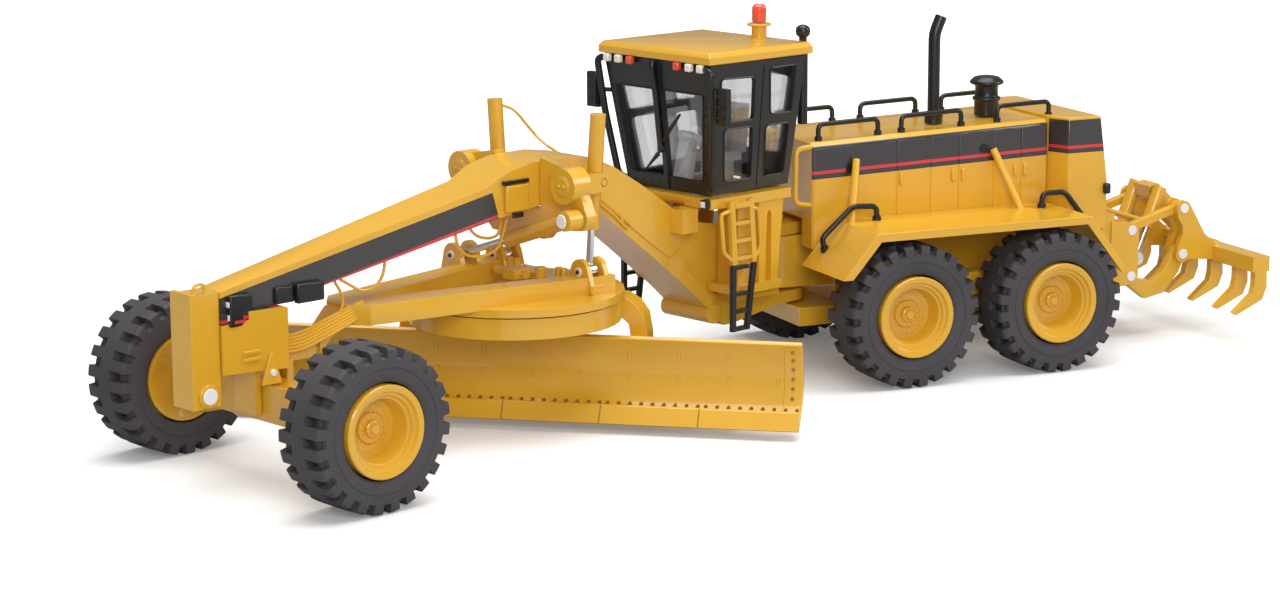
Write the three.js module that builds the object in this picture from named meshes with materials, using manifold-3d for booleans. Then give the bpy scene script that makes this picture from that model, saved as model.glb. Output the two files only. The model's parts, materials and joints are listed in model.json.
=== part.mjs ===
// A 1:50 die-cast scale model of a very large articulated motor grader, in millimetres, +Z up.
// Rear frame: x = 0 between the tandem wheels, +X to the nose, +Y to the left, the ground at z = 0.
// Front frame: the same, but x = 0 at the articulation hinge, turned by the articulation angle.
import * as THREE from "three";
import { mergeVertices } from "three/addons/utils/BufferGeometryUtils.js";
import Module from "manifold-3d";

const wasm = await Module();
wasm.setup();

// ---------------------------------------------------------------- driving dimensions
const gap = 0.3; // left between pieces that touch
const rad = Math.PI / 180;

const tyre = { radius: 18.75, width: 14.9, bore: 10.9, shoulder: 1.8, sides: 28 };
const wheelZ = tyre.radius;
const rim = { lip: 0.4, dish: 7.2, hub: 3.9, hubDepth: 3.4, webDepth: 6.4, recess: 6, sides: 24 };
const rear = { between: 5.7, outerY: 40.4 }; // between a side's two tyres, and their outer face
const spacing = 2 * tyre.radius + rear.between; // of the tandem wheels' centres
const hitch = { x: 42, angle: 19.2 * rad, radius: 7, plate: 3, noseHalf: 6, pin: 2, low: 18.5, high: 39.5 };
const axle = { x: 166.9, outerY: 44.5, kingpinY: 25.5, depth: 6.8, arm: 8 };
const axleFork = { y: 21, low: wheelZ - 4.65, high: wheelZ + 4.65, wall: 1.6 };
const beam = { noseX: 181, noseHalf: 3.9, kneeX: 104, kneeHalf: 7.3, neckHalf: 8 };
const nose = { rearX: 165.5, half: 8, low: wheelZ + 8.25, high: 46, plateX: 189, plateLow: 20 };
const chassis = { half: 9, low: 20, high: 33.5, rearX: -50, tongueX: 28, axleRadius: 5.5 };
const guard = { half: 12, low: 12.6, high: 17.6, rearX: 24, frontX: 41.2 };
const tandem = { innerY: 18, outerY: 24, radius: 7, stub: 3 };
const hood = { half: 16, rearX: -31, frontX: 39.7, low: 33.8, frontTop: 61.7, rearTop: 63.8, chamfer: 1.4 };
const radiator = { half: 22, frontX: -34, rearX: -46.4, top: 64.6, lean: 2.5 };
const fender = { outerY: 40, top: 2 * wheelZ + 3.8, skin: 1.3, lip: 2.2, frontRamp: 9.8, rearRamp: 12.1 };
const fenderToe = { ahead: 2.45, frontZ: wheelZ + 11.15, behind: 2.25, rearZ: wheelZ + 6.75 };
const stack = { x: -1.5, y: 6, radius: 1.6, bendZ: 87, tipZ: 91.6, lean: 2 };
const cleaner = { x: -19.5, y: 3, radius: 3.3, cap: 4.6, tall: 10.7 };
const cab = { wall: 1.2, glass: 0.4, low: 52.1, high: 85.6, visor: 78 };
const cabFoot = { rearX: 11, frontX: 39.4, half: 14.7 };
const cabHead = { rearX: 9.5, frontX: 43.5, half: 19.5 };
const roof = { rearX: 7.8, frontX: 44.7, half: 20.4, thick: 2.95, slope: 0.8 };
const roofTop = cab.high + gap + roof.thick;
const beacon = { x: 12.4, y: 5.5, base: 1.95, flange: 3.1, lens: 1.85, tall: 5.5, flangeZ: roofTop + 3.35 };
const mast = { x: 5.5, y: 14.5, radius: 1.3, cap: 1.9, low: 67, top: roofTop + 3.75 };
const mirror = { x: 43.2, y: 23.5, low: 71.4, high: 80.4, wide: 4, deep: 1.8 };
const deck = { rearX: 13.2, frontX: 41.8, half: 18, low: 49.2, high: 51.7 };
const ladder = { y: 20.8, rearX: 28.2, frontX: 36.9, high: 51.2, mid: 35.8, low: 17.6 };
const ladderBar = { rail: 1.2, stile: 1.6, rise: 4.5 };
const column = { half: 17.4, inner: 15.2, low: 28.2 };
const ball = { x: 153.5, z: wheelZ + 10.25, radius: 2.4 };
const ring = { x: 91.2, low: 26.3, high: 31.4, inner: 20.5, outer: 26.1, turn: 35.4 * rad };
const draw = { low: 33.2, high: 38, plate: 31.8, frontY: 8, rearY: 20.5, wide: 5.4, rearX: 76.7 };
const ear = { x: 81.1, y: 15.8, z: 39, radius: 3.1, foot: 4.7, plate: 1.4, slot: 3.8, pin: 0.8 };
const blade = { half: 73.1, shift: -2, footU: 6.3, footZ: 3, headU: 1.1, headZ: 22.4, arc: 13, skin: 1.2 };
const edge = { tall: 4.2, thick: 1 };
const bladeArm = { v: 27.5, wide: 4, frontU: -6.8, rearU: -14.5, low: 6.5 };
const slideRail = { low: 8, high: 17.5, tall: 2.2, half: 58 };
const lift = { topX: 80.7, topY: 19, topZ: 77.5, glandZ: 49.5, barrel: 1.9, rod: 0.9, yoke: 1.4, stub: 0.9 };
const drum = { radius: 4.4, frontX: 92.4, z: 61.2 };
const saddle = { rearX: 87, plate: 3 };
const shift = { y: 22, z: 53.5, barrel: 1.9, rod: 0.9, eye: 2.5, eyeHalf: 2.1, pin: 0.9, glandShare: 0.55 };
const shiftX = saddle.rearX + saddle.plate + gap + shift.eyeHalf + 0.2; // it swings before the saddle
const shiftEar = { x: shiftX, y: -18.4, z: 40 };
const arm = { frameX: -59.7, beamX: -76.5, lowZ: 18.1, highZ: 30.9, rise: 4.9, y: 11.4, plate: 2.6 };
const armPin = 1.1; // radius of every ripper pin
const ram = { footX: -66.5, footZ: 21.3, headX: -73.5, headZ: 39.3, y: 6 };
const ramTube = { radius: 1.9, rod: 0.9, length: 10.1, rodShare: 0.554, eyeHalf: 1.3 };
const ripper = { beamX: -89, beamHalf: 34, low: 20.4, high: 24.6, deep: 5.4, tipX: -81, tipZ: 9, shank: 2.2 };
const shankPlaces = [-33, -24, -12, 0, 12, 24, 33];

const rearWheelY = rear.outerY - tyre.width / 2;
const frontWheelY = axle.outerY - tyre.width / 2;
const axlePinRadius = 1.6;
const leverTop = wheelZ + 0.25; // of the knuckles' levers, which the tie rod runs under
const tieRadius = 0.9;
const hubFaceDepth = tyre.width / 2 - 3.45; // from a wheel's middle plane in to its hub's inner face

// ---------------------------------------------------------------- materials
const paint = (color, roughness, metalness = 0) =>
  new THREE.MeshStandardMaterial({ color, roughness, metalness });
const yellow = paint(0xe0a21f, 0.35);
const black = paint(0x1b1c1e, 0.45);
const rubber = paint(0x3a373b, 0.85);
const chrome = paint(0xd8dade, 0.15, 1);
const grey = paint(0x8a8a8f, 0.6);
const lens = paint(0xf0481c, 0.2);
const clear = { color: 0xeef4f6, roughness: 0.05, transparent: true, opacity: 0.25 };
const glass = new THREE.MeshStandardMaterial(clear);

// ---------------------------------------------------------------- shape helpers
function solid(geometry) {
  const bare = geometry.index ? geometry.toNonIndexed() : geometry.clone();
  const points = new THREE.BufferGeometry().setAttribute("position", bare.getAttribute("position"));
  const merged = mergeVertices(points, 1e-4);
  const made = new wasm.Manifold(
    new wasm.Mesh({
      numProp: 3,
      vertProperties: merged.attributes.position.array,
      triVerts: new Uint32Array(merged.index.array),
    }),
  );
  return made;
}

function geometryOf(made) {
  const mesh = made.getMesh();
  const geometry = new THREE.BufferGeometry();
  geometry.setAttribute("position", new THREE.BufferAttribute(new Float32Array(mesh.vertProperties), 3));
  geometry.setIndex(new THREE.BufferAttribute(new Uint32Array(mesh.triVerts), 1));
  return geometry;
}

const join = (...pieces) => geometryOf(pieces.map(solid).reduce((whole, next) => whole.add(next)));
const cut = (piece, ...tools) =>
  geometryOf(tools.map(solid).reduce((left, tool) => left.subtract(tool), solid(piece)));
const common = (a, b) => geometryOf(solid(a).intersect(solid(b)));

const block = (x0, x1, y0, y1, z0, z1) =>
  new THREE.BoxGeometry(x1 - x0, y1 - y0, z1 - z0).translate((x0 + x1) / 2, (y0 + y1) / 2, (z0 + z1) / 2);

function prism(outline, depth) {
  const corners = outline.map(([u, v]) => new THREE.Vector2(u, v));
  return new THREE.ExtrudeGeometry(new THREE.Shape(corners), { depth, bevelEnabled: false, steps: 1 });
}

// An outline in (x, y) between two heights, in (x, z) between two widths, or in (y, z) between two lengths.
const flat = (outline, z0, z1) => prism(outline, z1 - z0).translate(0, 0, z0);
const side = (outline, y0, y1) =>
  prism(outline, y1 - y0).rotateX(Math.PI / 2).translate(0, y1, 0);
const front = (outline, x0, x1) =>
  prism(outline, x1 - x0).rotateZ(Math.PI / 2).rotateY(Math.PI / 2).translate(x0, 0, 0);

// A box whose top rectangle differs from its bottom one: each is { rearX, frontX, half }.
function tapered(foot, head, z0, z1) {
  const box = new THREE.BoxGeometry(2, 2, 2);
  const at = box.getAttribute("position");
  for (let i = 0; i < at.count; i += 1) {
    const end = at.getZ(i) > 0 ? head : foot;
    const x = at.getX(i) > 0 ? end.frontX : end.rearX;
    at.setXYZ(i, x, at.getY(i) * end.half, at.getZ(i) > 0 ? z1 : z0);
  }
  return box;
}

// Moves a shape made along +Y from the origin so that it runs from one point towards another.
function aimed(geometry, from, to) {
  const along = new THREE.Vector3(...to).sub(new THREE.Vector3(...from)).normalize();
  const turn = new THREE.Quaternion().setFromUnitVectors(new THREE.Vector3(0, 1, 0), along);
  return geometry.applyQuaternion(turn).translate(...from);
}

const distance = (a, b) => new THREE.Vector3(...a).distanceTo(new THREE.Vector3(...b));
const partWay = (a, b, share) => a.map((c, i) => c + (b[i] - c) * share);

function bar(from, to, radius, sides = 12) {
  const length = distance(from, to);
  const upright = new THREE.CylinderGeometry(radius, radius, length, sides).translate(0, length / 2, 0);
  return aimed(upright, from, to);
}

const spun = (profile, sides) =>
  new THREE.LatheGeometry(profile.map(([radius, along]) => new THREE.Vector2(radius, along)), sides);

// Points of an outline with each corner rounded by a few points.
function rounded(outline, radius, steps = 2) {
  const points = [];
  outline.forEach((corner, i) => {
    const here = new THREE.Vector2(...corner);
    const before = new THREE.Vector2(...outline[(i + outline.length - 1) % outline.length]).sub(here);
    const after = new THREE.Vector2(...outline[(i + 1) % outline.length]).sub(here);
    const start = here.clone().addScaledVector(before.normalize(), radius);
    const end = here.clone().addScaledVector(after.normalize(), radius);
    const bend = new THREE.QuadraticBezierCurve(start, here, end);
    bend.getPoints(steps).forEach((p) => points.push([p.x, p.y]));
  });
  return points;
}

// Points of an arc about (u, v), in degrees.
function arc(u, v, radius, from, to, steps) {
  const points = [];
  for (let i = 0; i <= steps; i += 1) {
    const angle = (from + ((to - from) * i) / steps) * rad;
    points.push([u + radius * Math.cos(angle), v + radius * Math.sin(angle)]);
  }
  return points;
}

// A route that runs straight from corner to corner, with each corner taken by a short bend.
class Route extends THREE.Curve {
  constructor(corners, bend) {
    super();
    const stops = corners.map((corner) => new THREE.Vector3(...corner));
    this.stops = [stops[0]];
    for (let i = 1; i < stops.length - 1; i += 1) {
      const back = stops[i - 1].clone().sub(stops[i]).setLength(bend).add(stops[i]);
      const on = stops[i + 1].clone().sub(stops[i]).setLength(bend).add(stops[i]);
      this.stops.push(...new THREE.QuadraticBezierCurve3(back, stops[i], on).getPoints(2));
    }
    this.stops.push(stops.at(-1));
  }
  getPoint(t) {
    const place = t * (this.stops.length - 1);
    const i = Math.min(Math.floor(place), this.stops.length - 2);
    return this.stops[i].clone().lerp(this.stops[i + 1], place - i);
  }
  getSpacedPoints() {
    return this.stops;
  }
  getTangentAt(u) {
    const i = Math.round(u * (this.stops.length - 1));
    const ahead = this.stops[Math.min(i + 1, this.stops.length - 1)];
    return ahead.clone().sub(this.stops[Math.max(i - 1, 0)]).normalize();
  }
}

function bentRod(corners, radius, bend, sides = 8) {
  const route = new Route(corners, bend);
  const ends = arc(0, 0, radius, 0, 360 - 360 / sides, sides - 1);
  const shape = new THREE.Shape(ends.map(([u, v]) => new THREE.Vector2(u, v)));
  return new THREE.ExtrudeGeometry(shape, { steps: route.stops.length - 1, extrudePath: route });
}

const hands = [
  ["left", 1],
  ["right", -1],
];
const ordered = (a, b) => (a < b ? [a, b] : [b, a]);
const across = (a, b, hand) => ordered(a * hand, b * hand);

// A moving group: its pivot is the group's place, and what it holds is drawn in its parent's frame.
function pivot(parent, name, place, turn = 0) {
  const group = new THREE.Group();
  group.name = name;
  group.position.set(...place);
  group.rotation.z = turn;
  parent.add(group);
  return group;
}

// Adds a named mesh whose geometry is drawn in the frame of the group's parent.
function add(group, name, geometry, material, from = [0, 0, 0]) {
  const mesh = new THREE.Mesh(geometry, material);
  mesh.name = name;
  mesh.position.set(-from[0], -from[1], -from[2]);
  group.add(mesh);
  return mesh;
}

// ---------------------------------------------------------------- wheels
function tyreShape() {
  const half = tyre.width / 2;
  const tread = half - tyre.shoulder;
  const wall = tyre.radius - tyre.shoulder;
  return spun(
    [
      [tyre.bore, -half + 1.2],
      [tyre.bore + 1.6, -half],
      [wall, -half],
      [tyre.radius, -tread],
      [tyre.radius, tread],
      [wall, half],
      [tyre.bore + 1.6, half],
      [tyre.bore, half - 1.2],
      [tyre.bore, -half + 1.2],
    ],
    tyre.sides,
  );
}

// A deep-dish rim: its outer lip faces +Y, and its hub's back is flat at the spindle.
function rimShape() {
  const half = tyre.width / 2;
  const outside = tyre.bore - gap;
  const web = half - rim.webDepth;
  return spun(
    [
      [0, -hubFaceDepth],
      [rim.recess, -hubFaceDepth],
      [outside - 1.1, -half + 1],
      [outside, -half + 1],
      [outside, half + rim.lip],
      [outside - 0.9, half + rim.lip],
      [outside - 1.8, half - 1.2],
      [rim.dish, half - 2],
      [rim.dish - 0.6, web],
      [rim.hub, web],
      [rim.hub - 0.4, half - rim.hubDepth],
      [0, half - rim.hubDepth],
    ],
    rim.sides,
  );
}

function wheel(parent, name, place, hand) {
  const group = pivot(parent, `${name}_spin`, place);
  group.rotation.z = hand > 0 ? 0 : Math.PI;
  add(group, `${name}_tyre`, tyreShape(), rubber);
  add(group, `${name}_rim`, rimShape(), yellow);
}

// ---------------------------------------------------------------- rear frame
function rearChassis() {
  const { half, low, high, rearX, axleRadius } = chassis;
  const noseLow = hitch.low + hitch.plate + 0.5;
  const noseHigh = hitch.high - hitch.plate - 0.5;
  const round = arc(hitch.x, 0, hitch.noseHalf, -90, 90, 8);
  const rails = block(rearX, chassis.tongueX + 1, -half, half, low, high);
  const root = chassis.tongueX;
  const tongue = flat([[root, -hitch.noseHalf], ...round, [root, hitch.noseHalf]], noseLow, noseHigh);
  const pin = bar([hitch.x, 0, hitch.low - 0.6], [hitch.x, 0, hitch.high + 1], hitch.pin);
  const belly = block(guard.rearX, guard.frontX, -guard.half, guard.half, guard.low, guard.high);
  const drop = block(guard.rearX, chassis.tongueX + 1, -half, half, guard.high - 1, low + 1);
  const housing = bar([0, -tandem.innerY + gap, wheelZ], [0, tandem.innerY - gap, wheelZ], axleRadius, 20);
  return join(rails, tongue, pin, belly, drop, housing);
}

function tandemCase(hand) {
  const half = spacing / 2;
  const ends = [
    ...arc(half, wheelZ, tandem.radius, -90, 90, 8),
    ...arc(-half, wheelZ, tandem.radius, 90, 270, 8),
  ];
  const [inner, outer] = across(tandem.innerY, tandem.outerY, hand);
  const reach = rearWheelY - hubFaceDepth - gap;
  const stubs = [-half, half].map((x) =>
    bar([x, (tandem.outerY - 1) * hand, wheelZ], [x, reach * hand, wheelZ], tandem.stub),
  );
  return join(side(ends, inner, outer), ...stubs);
}

// The hood: its top rises to the rear, and its nose is notched over the hinge.
function engineHood() {
  const { half, chamfer, low, frontTop, rearTop, frontX, rearX } = hood;
  const section = [
    [-half, low],
    [half, low],
    [half, frontTop - chamfer],
    [half - chamfer, frontTop],
    [-half + chamfer, frontTop],
    [-half, frontTop - chamfer],
  ];
  const body = front(section, rearX, frontX);
  const at = body.getAttribute("position");
  for (let i = 0; i < at.count; i += 1) {
    if (at.getZ(i) > low + 1 && at.getX(i) < frontX - 1) at.setZ(i, at.getZ(i) + rearTop - frontTop);
  }
  const notchX = chassis.tongueX - gap;
  const notch = block(notchX, frontX + 1, -hitch.radius - 3, hitch.radius + 3, low - 1, hitch.high + 1.6);
  return cut(body, notch);
}

function radiatorHousing() {
  const { half, frontX, rearX, top, lean } = radiator;
  const flareX = hood.rearX - gap;
  const plan = flat(
    [
      [flareX, -hood.half],
      [flareX, hood.half],
      [frontX, half],
      [rearX, half],
      [rearX, -half],
      [frontX, -half],
    ],
    hood.low,
    top + 1,
  );
  const profile = side(
    [
      [flareX + 1, hood.low],
      [flareX + 1, top],
      [rearX + lean, top],
      [rearX, top - 18],
      [rearX, hood.low],
    ],
    -half - 1,
    half + 1,
  );
  return common(plan, profile);
}

function fenderShape(hand) {
  const { outerY, top, skin, lip } = fender;
  const reach = spacing / 2 + tyre.radius; // to the far side of either tyre
  const toe = {
    frontX: reach + fenderToe.ahead,
    frontZ: fenderToe.frontZ,
    rearX: -reach - fenderToe.behind,
    rearZ: fenderToe.rearZ,
  };
  const frontX = toe.frontX - fender.frontRamp;
  const rearX = toe.rearX + fender.rearRamp;
  const over = [
    [toe.frontX, toe.frontZ],
    [frontX, top],
    [rearX, top],
    [toe.rearX, toe.rearZ],
  ];
  const under = (depth) => [
    [toe.rearX + depth * 1.1, toe.rearZ],
    [rearX + depth * 0.5, top - depth],
    [frontX - depth * 0.5, top - depth],
    [toe.frontX - depth * 1.3, toe.frontZ],
  ];
  const from = hood.half + gap;
  const sheet = side([...over, ...under(skin)], ...across(from, outerY, hand));
  const rimEdge = side([...over, ...under(lip)], ...across(outerY, outerY - 1.2, hand));
  const strutRadius = 1;
  const strut = (topX, footX) =>
    bar([footX, 21.5 * hand, top - 0.5], [topX, (from + strutRadius) * hand, 57], strutRadius, 8);
  const clearance = block(-60, hood.rearX, -radiator.half - gap, radiator.half + gap, 0, 80);
  return cut(join(sheet, rimEdge, strut(-13.5, -20), strut(27.5, 31)), clearance);
}

function exhaustStack() {
  const share = (hood.frontX - stack.x) / (hood.frontX - hood.rearX);
  const base = hood.frontTop + share * (hood.rearTop - hood.frontTop) + gap;
  const foot = bar([stack.x, stack.y, base], [stack.x, stack.y, base + 3], stack.radius + 0.8);
  const route = [
    [stack.x, stack.y, base + 1],
    [stack.x, stack.y, stack.bendZ],
    [stack.x - stack.lean, stack.y, stack.tipZ],
  ];
  return join(foot, bentRod(route, stack.radius, 1.5, 12));
}

function airPrecleaner() {
  const base = hood.rearTop - 0.3 + gap;
  const { radius, cap } = cleaner;
  const top = hood.rearTop + cleaner.tall;
  return spun(
    [
      [0, base],
      [radius, base],
      [radius, base + 4],
      [radius + 0.5, base + 4.3],
      [radius + 0.5, base + 5],
      [radius - 0.2, base + 5.3],
      [radius - 0.2, top - 2.6],
      [cap, top - 2],
      [cap, top - 1.4],
      [cap - 1.2, top - 0.3],
      [cap - 2.4, top],
      [0, top],
    ],
    20,
  )
    .rotateX(Math.PI / 2)
    .translate(cleaner.x, cleaner.y, 0);
}

// ---------------------------------------------------------------- front frame
function frontFrame() {
  const upper = hitch.high - hitch.plate;
  const outline = [
    [9, hitch.low],
    [24, 16.2],
    [27.5, 16.2],
    [38.1, 25.8],
    [51.5, 36.6],
    [69.9, 50.8],
    [78, 54.6],
    [88, 55.4],
    [103.2, 53.2],
    [155.6, 43.3],
    [beam.noseX, 38.6],
    [beam.noseX, nose.high],
    [106, 61],
    [99.5, 64.2],
    [92, 65.8],
    [81, 66],
    [73, 64.9],
    [66, 62],
    [56.6, 56.4],
    [47.4, 50.2],
    [40, 45],
    [28, 42.5],
    [9, 42.5],
  ];
  const { noseX, noseHalf, kneeX, kneeHalf, neckHalf } = beam;
  const plan = [
    [0, -neckHalf],
    [96, -neckHalf],
    [kneeX, -kneeHalf],
    [noseX, -noseHalf],
    [noseX, noseHalf],
    [kneeX, kneeHalf],
    [96, neckHalf],
    [0, neckHalf],
  ];
  const web = common(side(outline, -neckHalf - 1, neckHalf + 1), flat(plan, 0, 80));
  const bow = flat(
    [
      [nose.rearX, -nose.half],
      [noseX, -noseHalf - 0.4],
      [noseX, noseHalf + 0.4],
      [nose.rearX, nose.half],
    ],
    nose.low,
    41,
  );
  const eye = [[10, -hitch.radius], [10, hitch.radius], ...arc(0, 0, hitch.radius, 90, 270, 10)];
  const fork = [hitch.low, upper].map((z) => flat(eye, z, z + hitch.plate));
  const lugs = bar([31.5, -neckHalf - 0.6, 19.8], [31.5, neckHalf + 0.6, 19.8], 2.6);
  const shelf = hands.map(([, hand]) => {
    const [y0, y1] = across(neckHalf - 1, 13, hand);
    return block(41.5, 47, y0, y1, 43, 49);
  });
  const socket = block(ball.x - 1, nose.rearX + 1, -3.4, 3.4, ball.z - 1.8, ball.z + 4);
  const cup = new THREE.SphereGeometry(ball.radius + gap, 12, 8).translate(ball.x, 0, ball.z);
  const cupMouth = block(ball.x - 5, ball.x + 1, -3.6, 3.6, ball.z - 3, ball.z + 5);
  const hangers = [axle.x - axle.depth / 2 - gap - 1.7, axle.x + axle.depth / 2 + gap].map((x) =>
    block(x, x + 1.7, -4, 4, wheelZ - 2.5, nose.low + 1),
  );
  const reach = axle.depth / 2 + gap + 1.7;
  const axlePin = bar([axle.x - reach, 0, wheelZ], [axle.x + reach, 0, wheelZ], axlePinRadius);
  const body = join(web, bow, ...fork, lugs, ...shelf, socket, ...hangers, axlePin);
  return cut(body, bar([0, 0, 0], [0, 0, 60], hitch.pin + gap), cup, cupMouth);
}

function pushPlate() {
  const half = beam.noseHalf;
  const back = beam.noseX + gap;
  const body = block(back, nose.plateX - 1.4, -half + 0.3, half - 0.3, nose.plateLow + 2, nose.high);
  const face = block(nose.plateX - 1.4, nose.plateX, -half, half, nose.plateLow, nose.high + 0.4);
  const heel = block(back, nose.plateX - 1, -half + 0.3, half - 0.3, nose.plateLow, nose.plateLow + 3);
  const towHole = bar([back + 2.6, -9, nose.plateLow + 2.4], [back + 2.6, 9, nose.plateLow + 2.4], 1.3);
  return cut(join(body, face, heel), towHole);
}

// The saddle hoops the neck from below, and holds a drum for each lift cylinder's trunnion.
function liftSaddle() {
  const free = beam.neckHalf + gap;
  const { radius: drumR, frontX: drumX, z: drumZ } = drum;
  const { topY } = lift;
  const hoop = [
    [-topY - 1, drumZ - drumR],
    [-9.5, 47],
    [9.5, 47],
    [topY + 1, drumZ - drumR],
    [topY + 1, drumZ + drumR - 1],
    [free, drumZ + drumR + 1.2],
    [free, 54.2],
    [-free, 54.2],
    [-free, drumZ + drumR + 1.2],
    [-topY - 1, drumZ + drumR - 1],
  ];
  const backX = saddle.rearX;
  const faceX = backX + saddle.plate;
  const plate = front(hoop, backX, faceX);
  const yokes = hands.flatMap(([, hand]) => {
    const [x, y, z] = liftTrunnion(hand);
    const stubHole = bar([x, y - 9, z], [x, y + 9, z], lift.stub + gap * 0.7, 12);
    return [-1, 1].map((way) => {
      const inner = y + way * (lift.barrel + gap);
      const [y0, y1] = ordered(inner, inner + way * lift.yoke);
      const cheek = [...arc(x, z, 2.2, 90, 270, 6), [backX + 0.5, z - 2.6], [backX + 0.5, z + 2.6]];
      return cut(side(cheek, y0, y1), stubHole);
    });
  });
  const drums = hands.map(([, hand]) =>
    bar([backX, topY * hand, drumZ], [drumX, topY * hand, drumZ], drumR, 20),
  );
  const keel = block(backX - 1.4, faceX, -free, free, 47.4, 51.5);
  const armEnd = shift.eye + 0.7;
  const shiftArm = front(
    [
      [topY - 6, drumZ - drumR - 3],
      [shift.y - 2, shift.z - armEnd],
      ...arc(shift.y, shift.z, armEnd, -60, 40, 5),
      [topY + 3, drumZ],
      [topY - 6, drumZ],
    ],
    backX,
    faceX,
  );
  const pinEnd = shiftX + shift.eyeHalf + 0.5;
  const shiftPin = bar([backX + 1, shift.y, shift.z], [pinEnd, shift.y, shift.z], shift.pin);
  return join(plate, ...yokes, ...drums, keel, shiftArm, shiftPin);
}

function cabDeck() {
  const { rearX, frontX, half, low, high } = deck;
  const free = beam.neckHalf + gap;
  const floor = block(rearX, frontX, -half, half, low, high);
  const neckTop = side(
    [
      [frontX + 1, 45],
      [frontX + 1, 46.2],
      [47.4 - 7, 48],
      [47.4, 60],
      [60, 60],
      [60, 45],
    ],
    -free,
    free,
  );
  const columns = [];
  const ladders = [];
  hands.forEach(([, hand]) => {
    columns.push(...deckColumn(hand));
    ladders.push(...upperLadder(hand));
  });
  return cut(join(floor, ...columns, ...ladders), neckTop);
}

// A forked leg under the deck, on a shelf that reaches forward, with a flat stay behind it.
function deckColumn(hand) {
  const { half, inner, low } = column;
  const top = deck.low + 0.5;
  const legs = [
    [17.6, low],
    [19.8, low],
    [19.7, top - 4],
    [20.4, top - 3],
    [21.2, top - 4],
    [22.1, low],
    [24.2, low],
    [24.2, top],
    [15.2, top],
  ];
  const free = beam.neckHalf + gap;
  const leg = side(legs, ...across(inner, half, hand));
  const stay = block(15, 30, ...across(free, inner + 0.4, hand), 24, top);
  const shelf = block(16.8, 33.5, ...across(free, half + 1, hand), low - 2, low + 0.1);
  return [leg, stay, shelf];
}

// Two flat stiles with steps between them, and a bent grab rail standing off each stile.
function upperLadder(hand) {
  const { y, rearX, frontX, high, mid } = ladder;
  const { rail, stile, rise } = ladderBar;
  const foot = mid - 1;
  const flatBar = (footX, topX) => {
    const outline = [[footX, foot], [footX + stile, foot], [topX + stile, high], [topX, high]];
    return side(outline, ...across(y - rail, y, hand));
  };
  const steps = [0, 1, 2].map((i) =>
    block(rearX + 1, frontX - 1, ...across(y - 2.6, y - 0.2, hand), mid + i * rise, mid + i * rise + 0.9),
  );
  const topStep = block(rearX + 1.4, frontX - 1, ...across(deck.half - 1, y, hand), high - 2, high - 0.6);
  const outside = (y - 0.5) * hand;
  const grabRail = (x, reach) => {
    const corners = [
      [x + 1, high - 2.5],
      [x + 1 + reach, high - 2.9],
      [x + reach, mid + 2.4],
      [x, foot + 0.7],
    ];
    return bentRod(corners.map(([u, z]) => [u, outside, z]), 0.55, 1);
  };
  return [
    flatBar(rearX, rearX + 1.2),
    flatBar(frontX - stile - 0.2, frontX - stile + 0.9),
    ...steps,
    topStep,
    grabRail(rearX + 0.8, -2.6),
    grabRail(frontX - 0.9, 3.6),
  ];
}

function lowerLadder(hand) {
  const { y, rearX, frontX, low, mid } = ladder;
  const { rail, rise } = ladderBar;
  const top = mid - 1 - gap;
  const wide = 1.3;
  const rearFoot = rearX + 2.5;
  const stile = (topX, footX) =>
    side([[footX, low], [footX + wide, low], [topX + wide, top], [topX, top]], ...across(y - rail, y, hand));
  const steps = [low, low + rise, low + 2 * rise, top - 1.1].map((z) =>
    block(rearFoot, frontX - 0.8, ...across(y - 1.8, y - 0.2, hand), z, z + 0.9),
  );
  return join(stile(rearX, rearFoot), stile(frontX - wide - 0.1, frontX - wide), ...steps);
}

// ---------------------------------------------------------------- cab
function inset(rect, by) {
  return { rearX: rect.rearX + by, frontX: rect.frontX - by, half: rect.half - by };
}

function cabShell() {
  const { wall, low, high, visor } = cab;
  const outer = tapered(cabFoot, cabHead, low, high);
  const inner = tapered(inset(cabFoot, wall), inset(cabHead, wall), low - 0.01, high + 0.01);
  const sideWindows = [
    [[24.9, 55.1], [34.6, 55.1], [36.5, 68.8], [26.2, 68.8]],
    [[26.1, 70.5], [37.4, 70.5], [39.4, 82], [27.2, 81.6]],
    [[13.2, 55], [20.4, 55], [21.6, 68.4], [12.9, 68.4]],
    [[12.6, 71.2], [20.4, 71.2], [22.2, 83.4], [12.6, 83.4]],
  ].map((corners) => side(rounded(corners, 1.2), -40, 40));
  const sill = low + 3.5;
  const windscreen = rounded([[-13.2, sill], [13.2, sill], [16, visor], [-16, visor]], 1.2);
  const rearWindow = rounded([[-11.5, 60], [11.5, 60], [14.5, 80], [-14.5, 80]], 1.2);
  const windows = [front(windscreen, 30, 60), front(rearWindow, 0, 20)];
  const shell = cut(outer, inner, ...sideWindows, ...windows);
  const pillar = block(-0.9, 0.9, -0.7, 0.7, 0, high - low + 0.6);
  const tilt = Math.atan2(cabHead.frontX - cabFoot.frontX, high - low);
  const leaning = pillar.rotateY(tilt).translate(cabFoot.frontX - 0.5, 0, low);
  return join(shell, common(leaning, block(0, 60, -9, 9, low, high)));
}

function cabGlazing() {
  const { wall, glass: pane, low, high } = cab;
  const outside = wall + gap;
  const outer = tapered(inset(cabFoot, outside), inset(cabHead, outside), low + 0.4, high - 0.4);
  const inner = tapered(inset(cabFoot, outside + pane), inset(cabHead, outside + pane), low, high);
  return cut(outer, inner);
}

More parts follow.
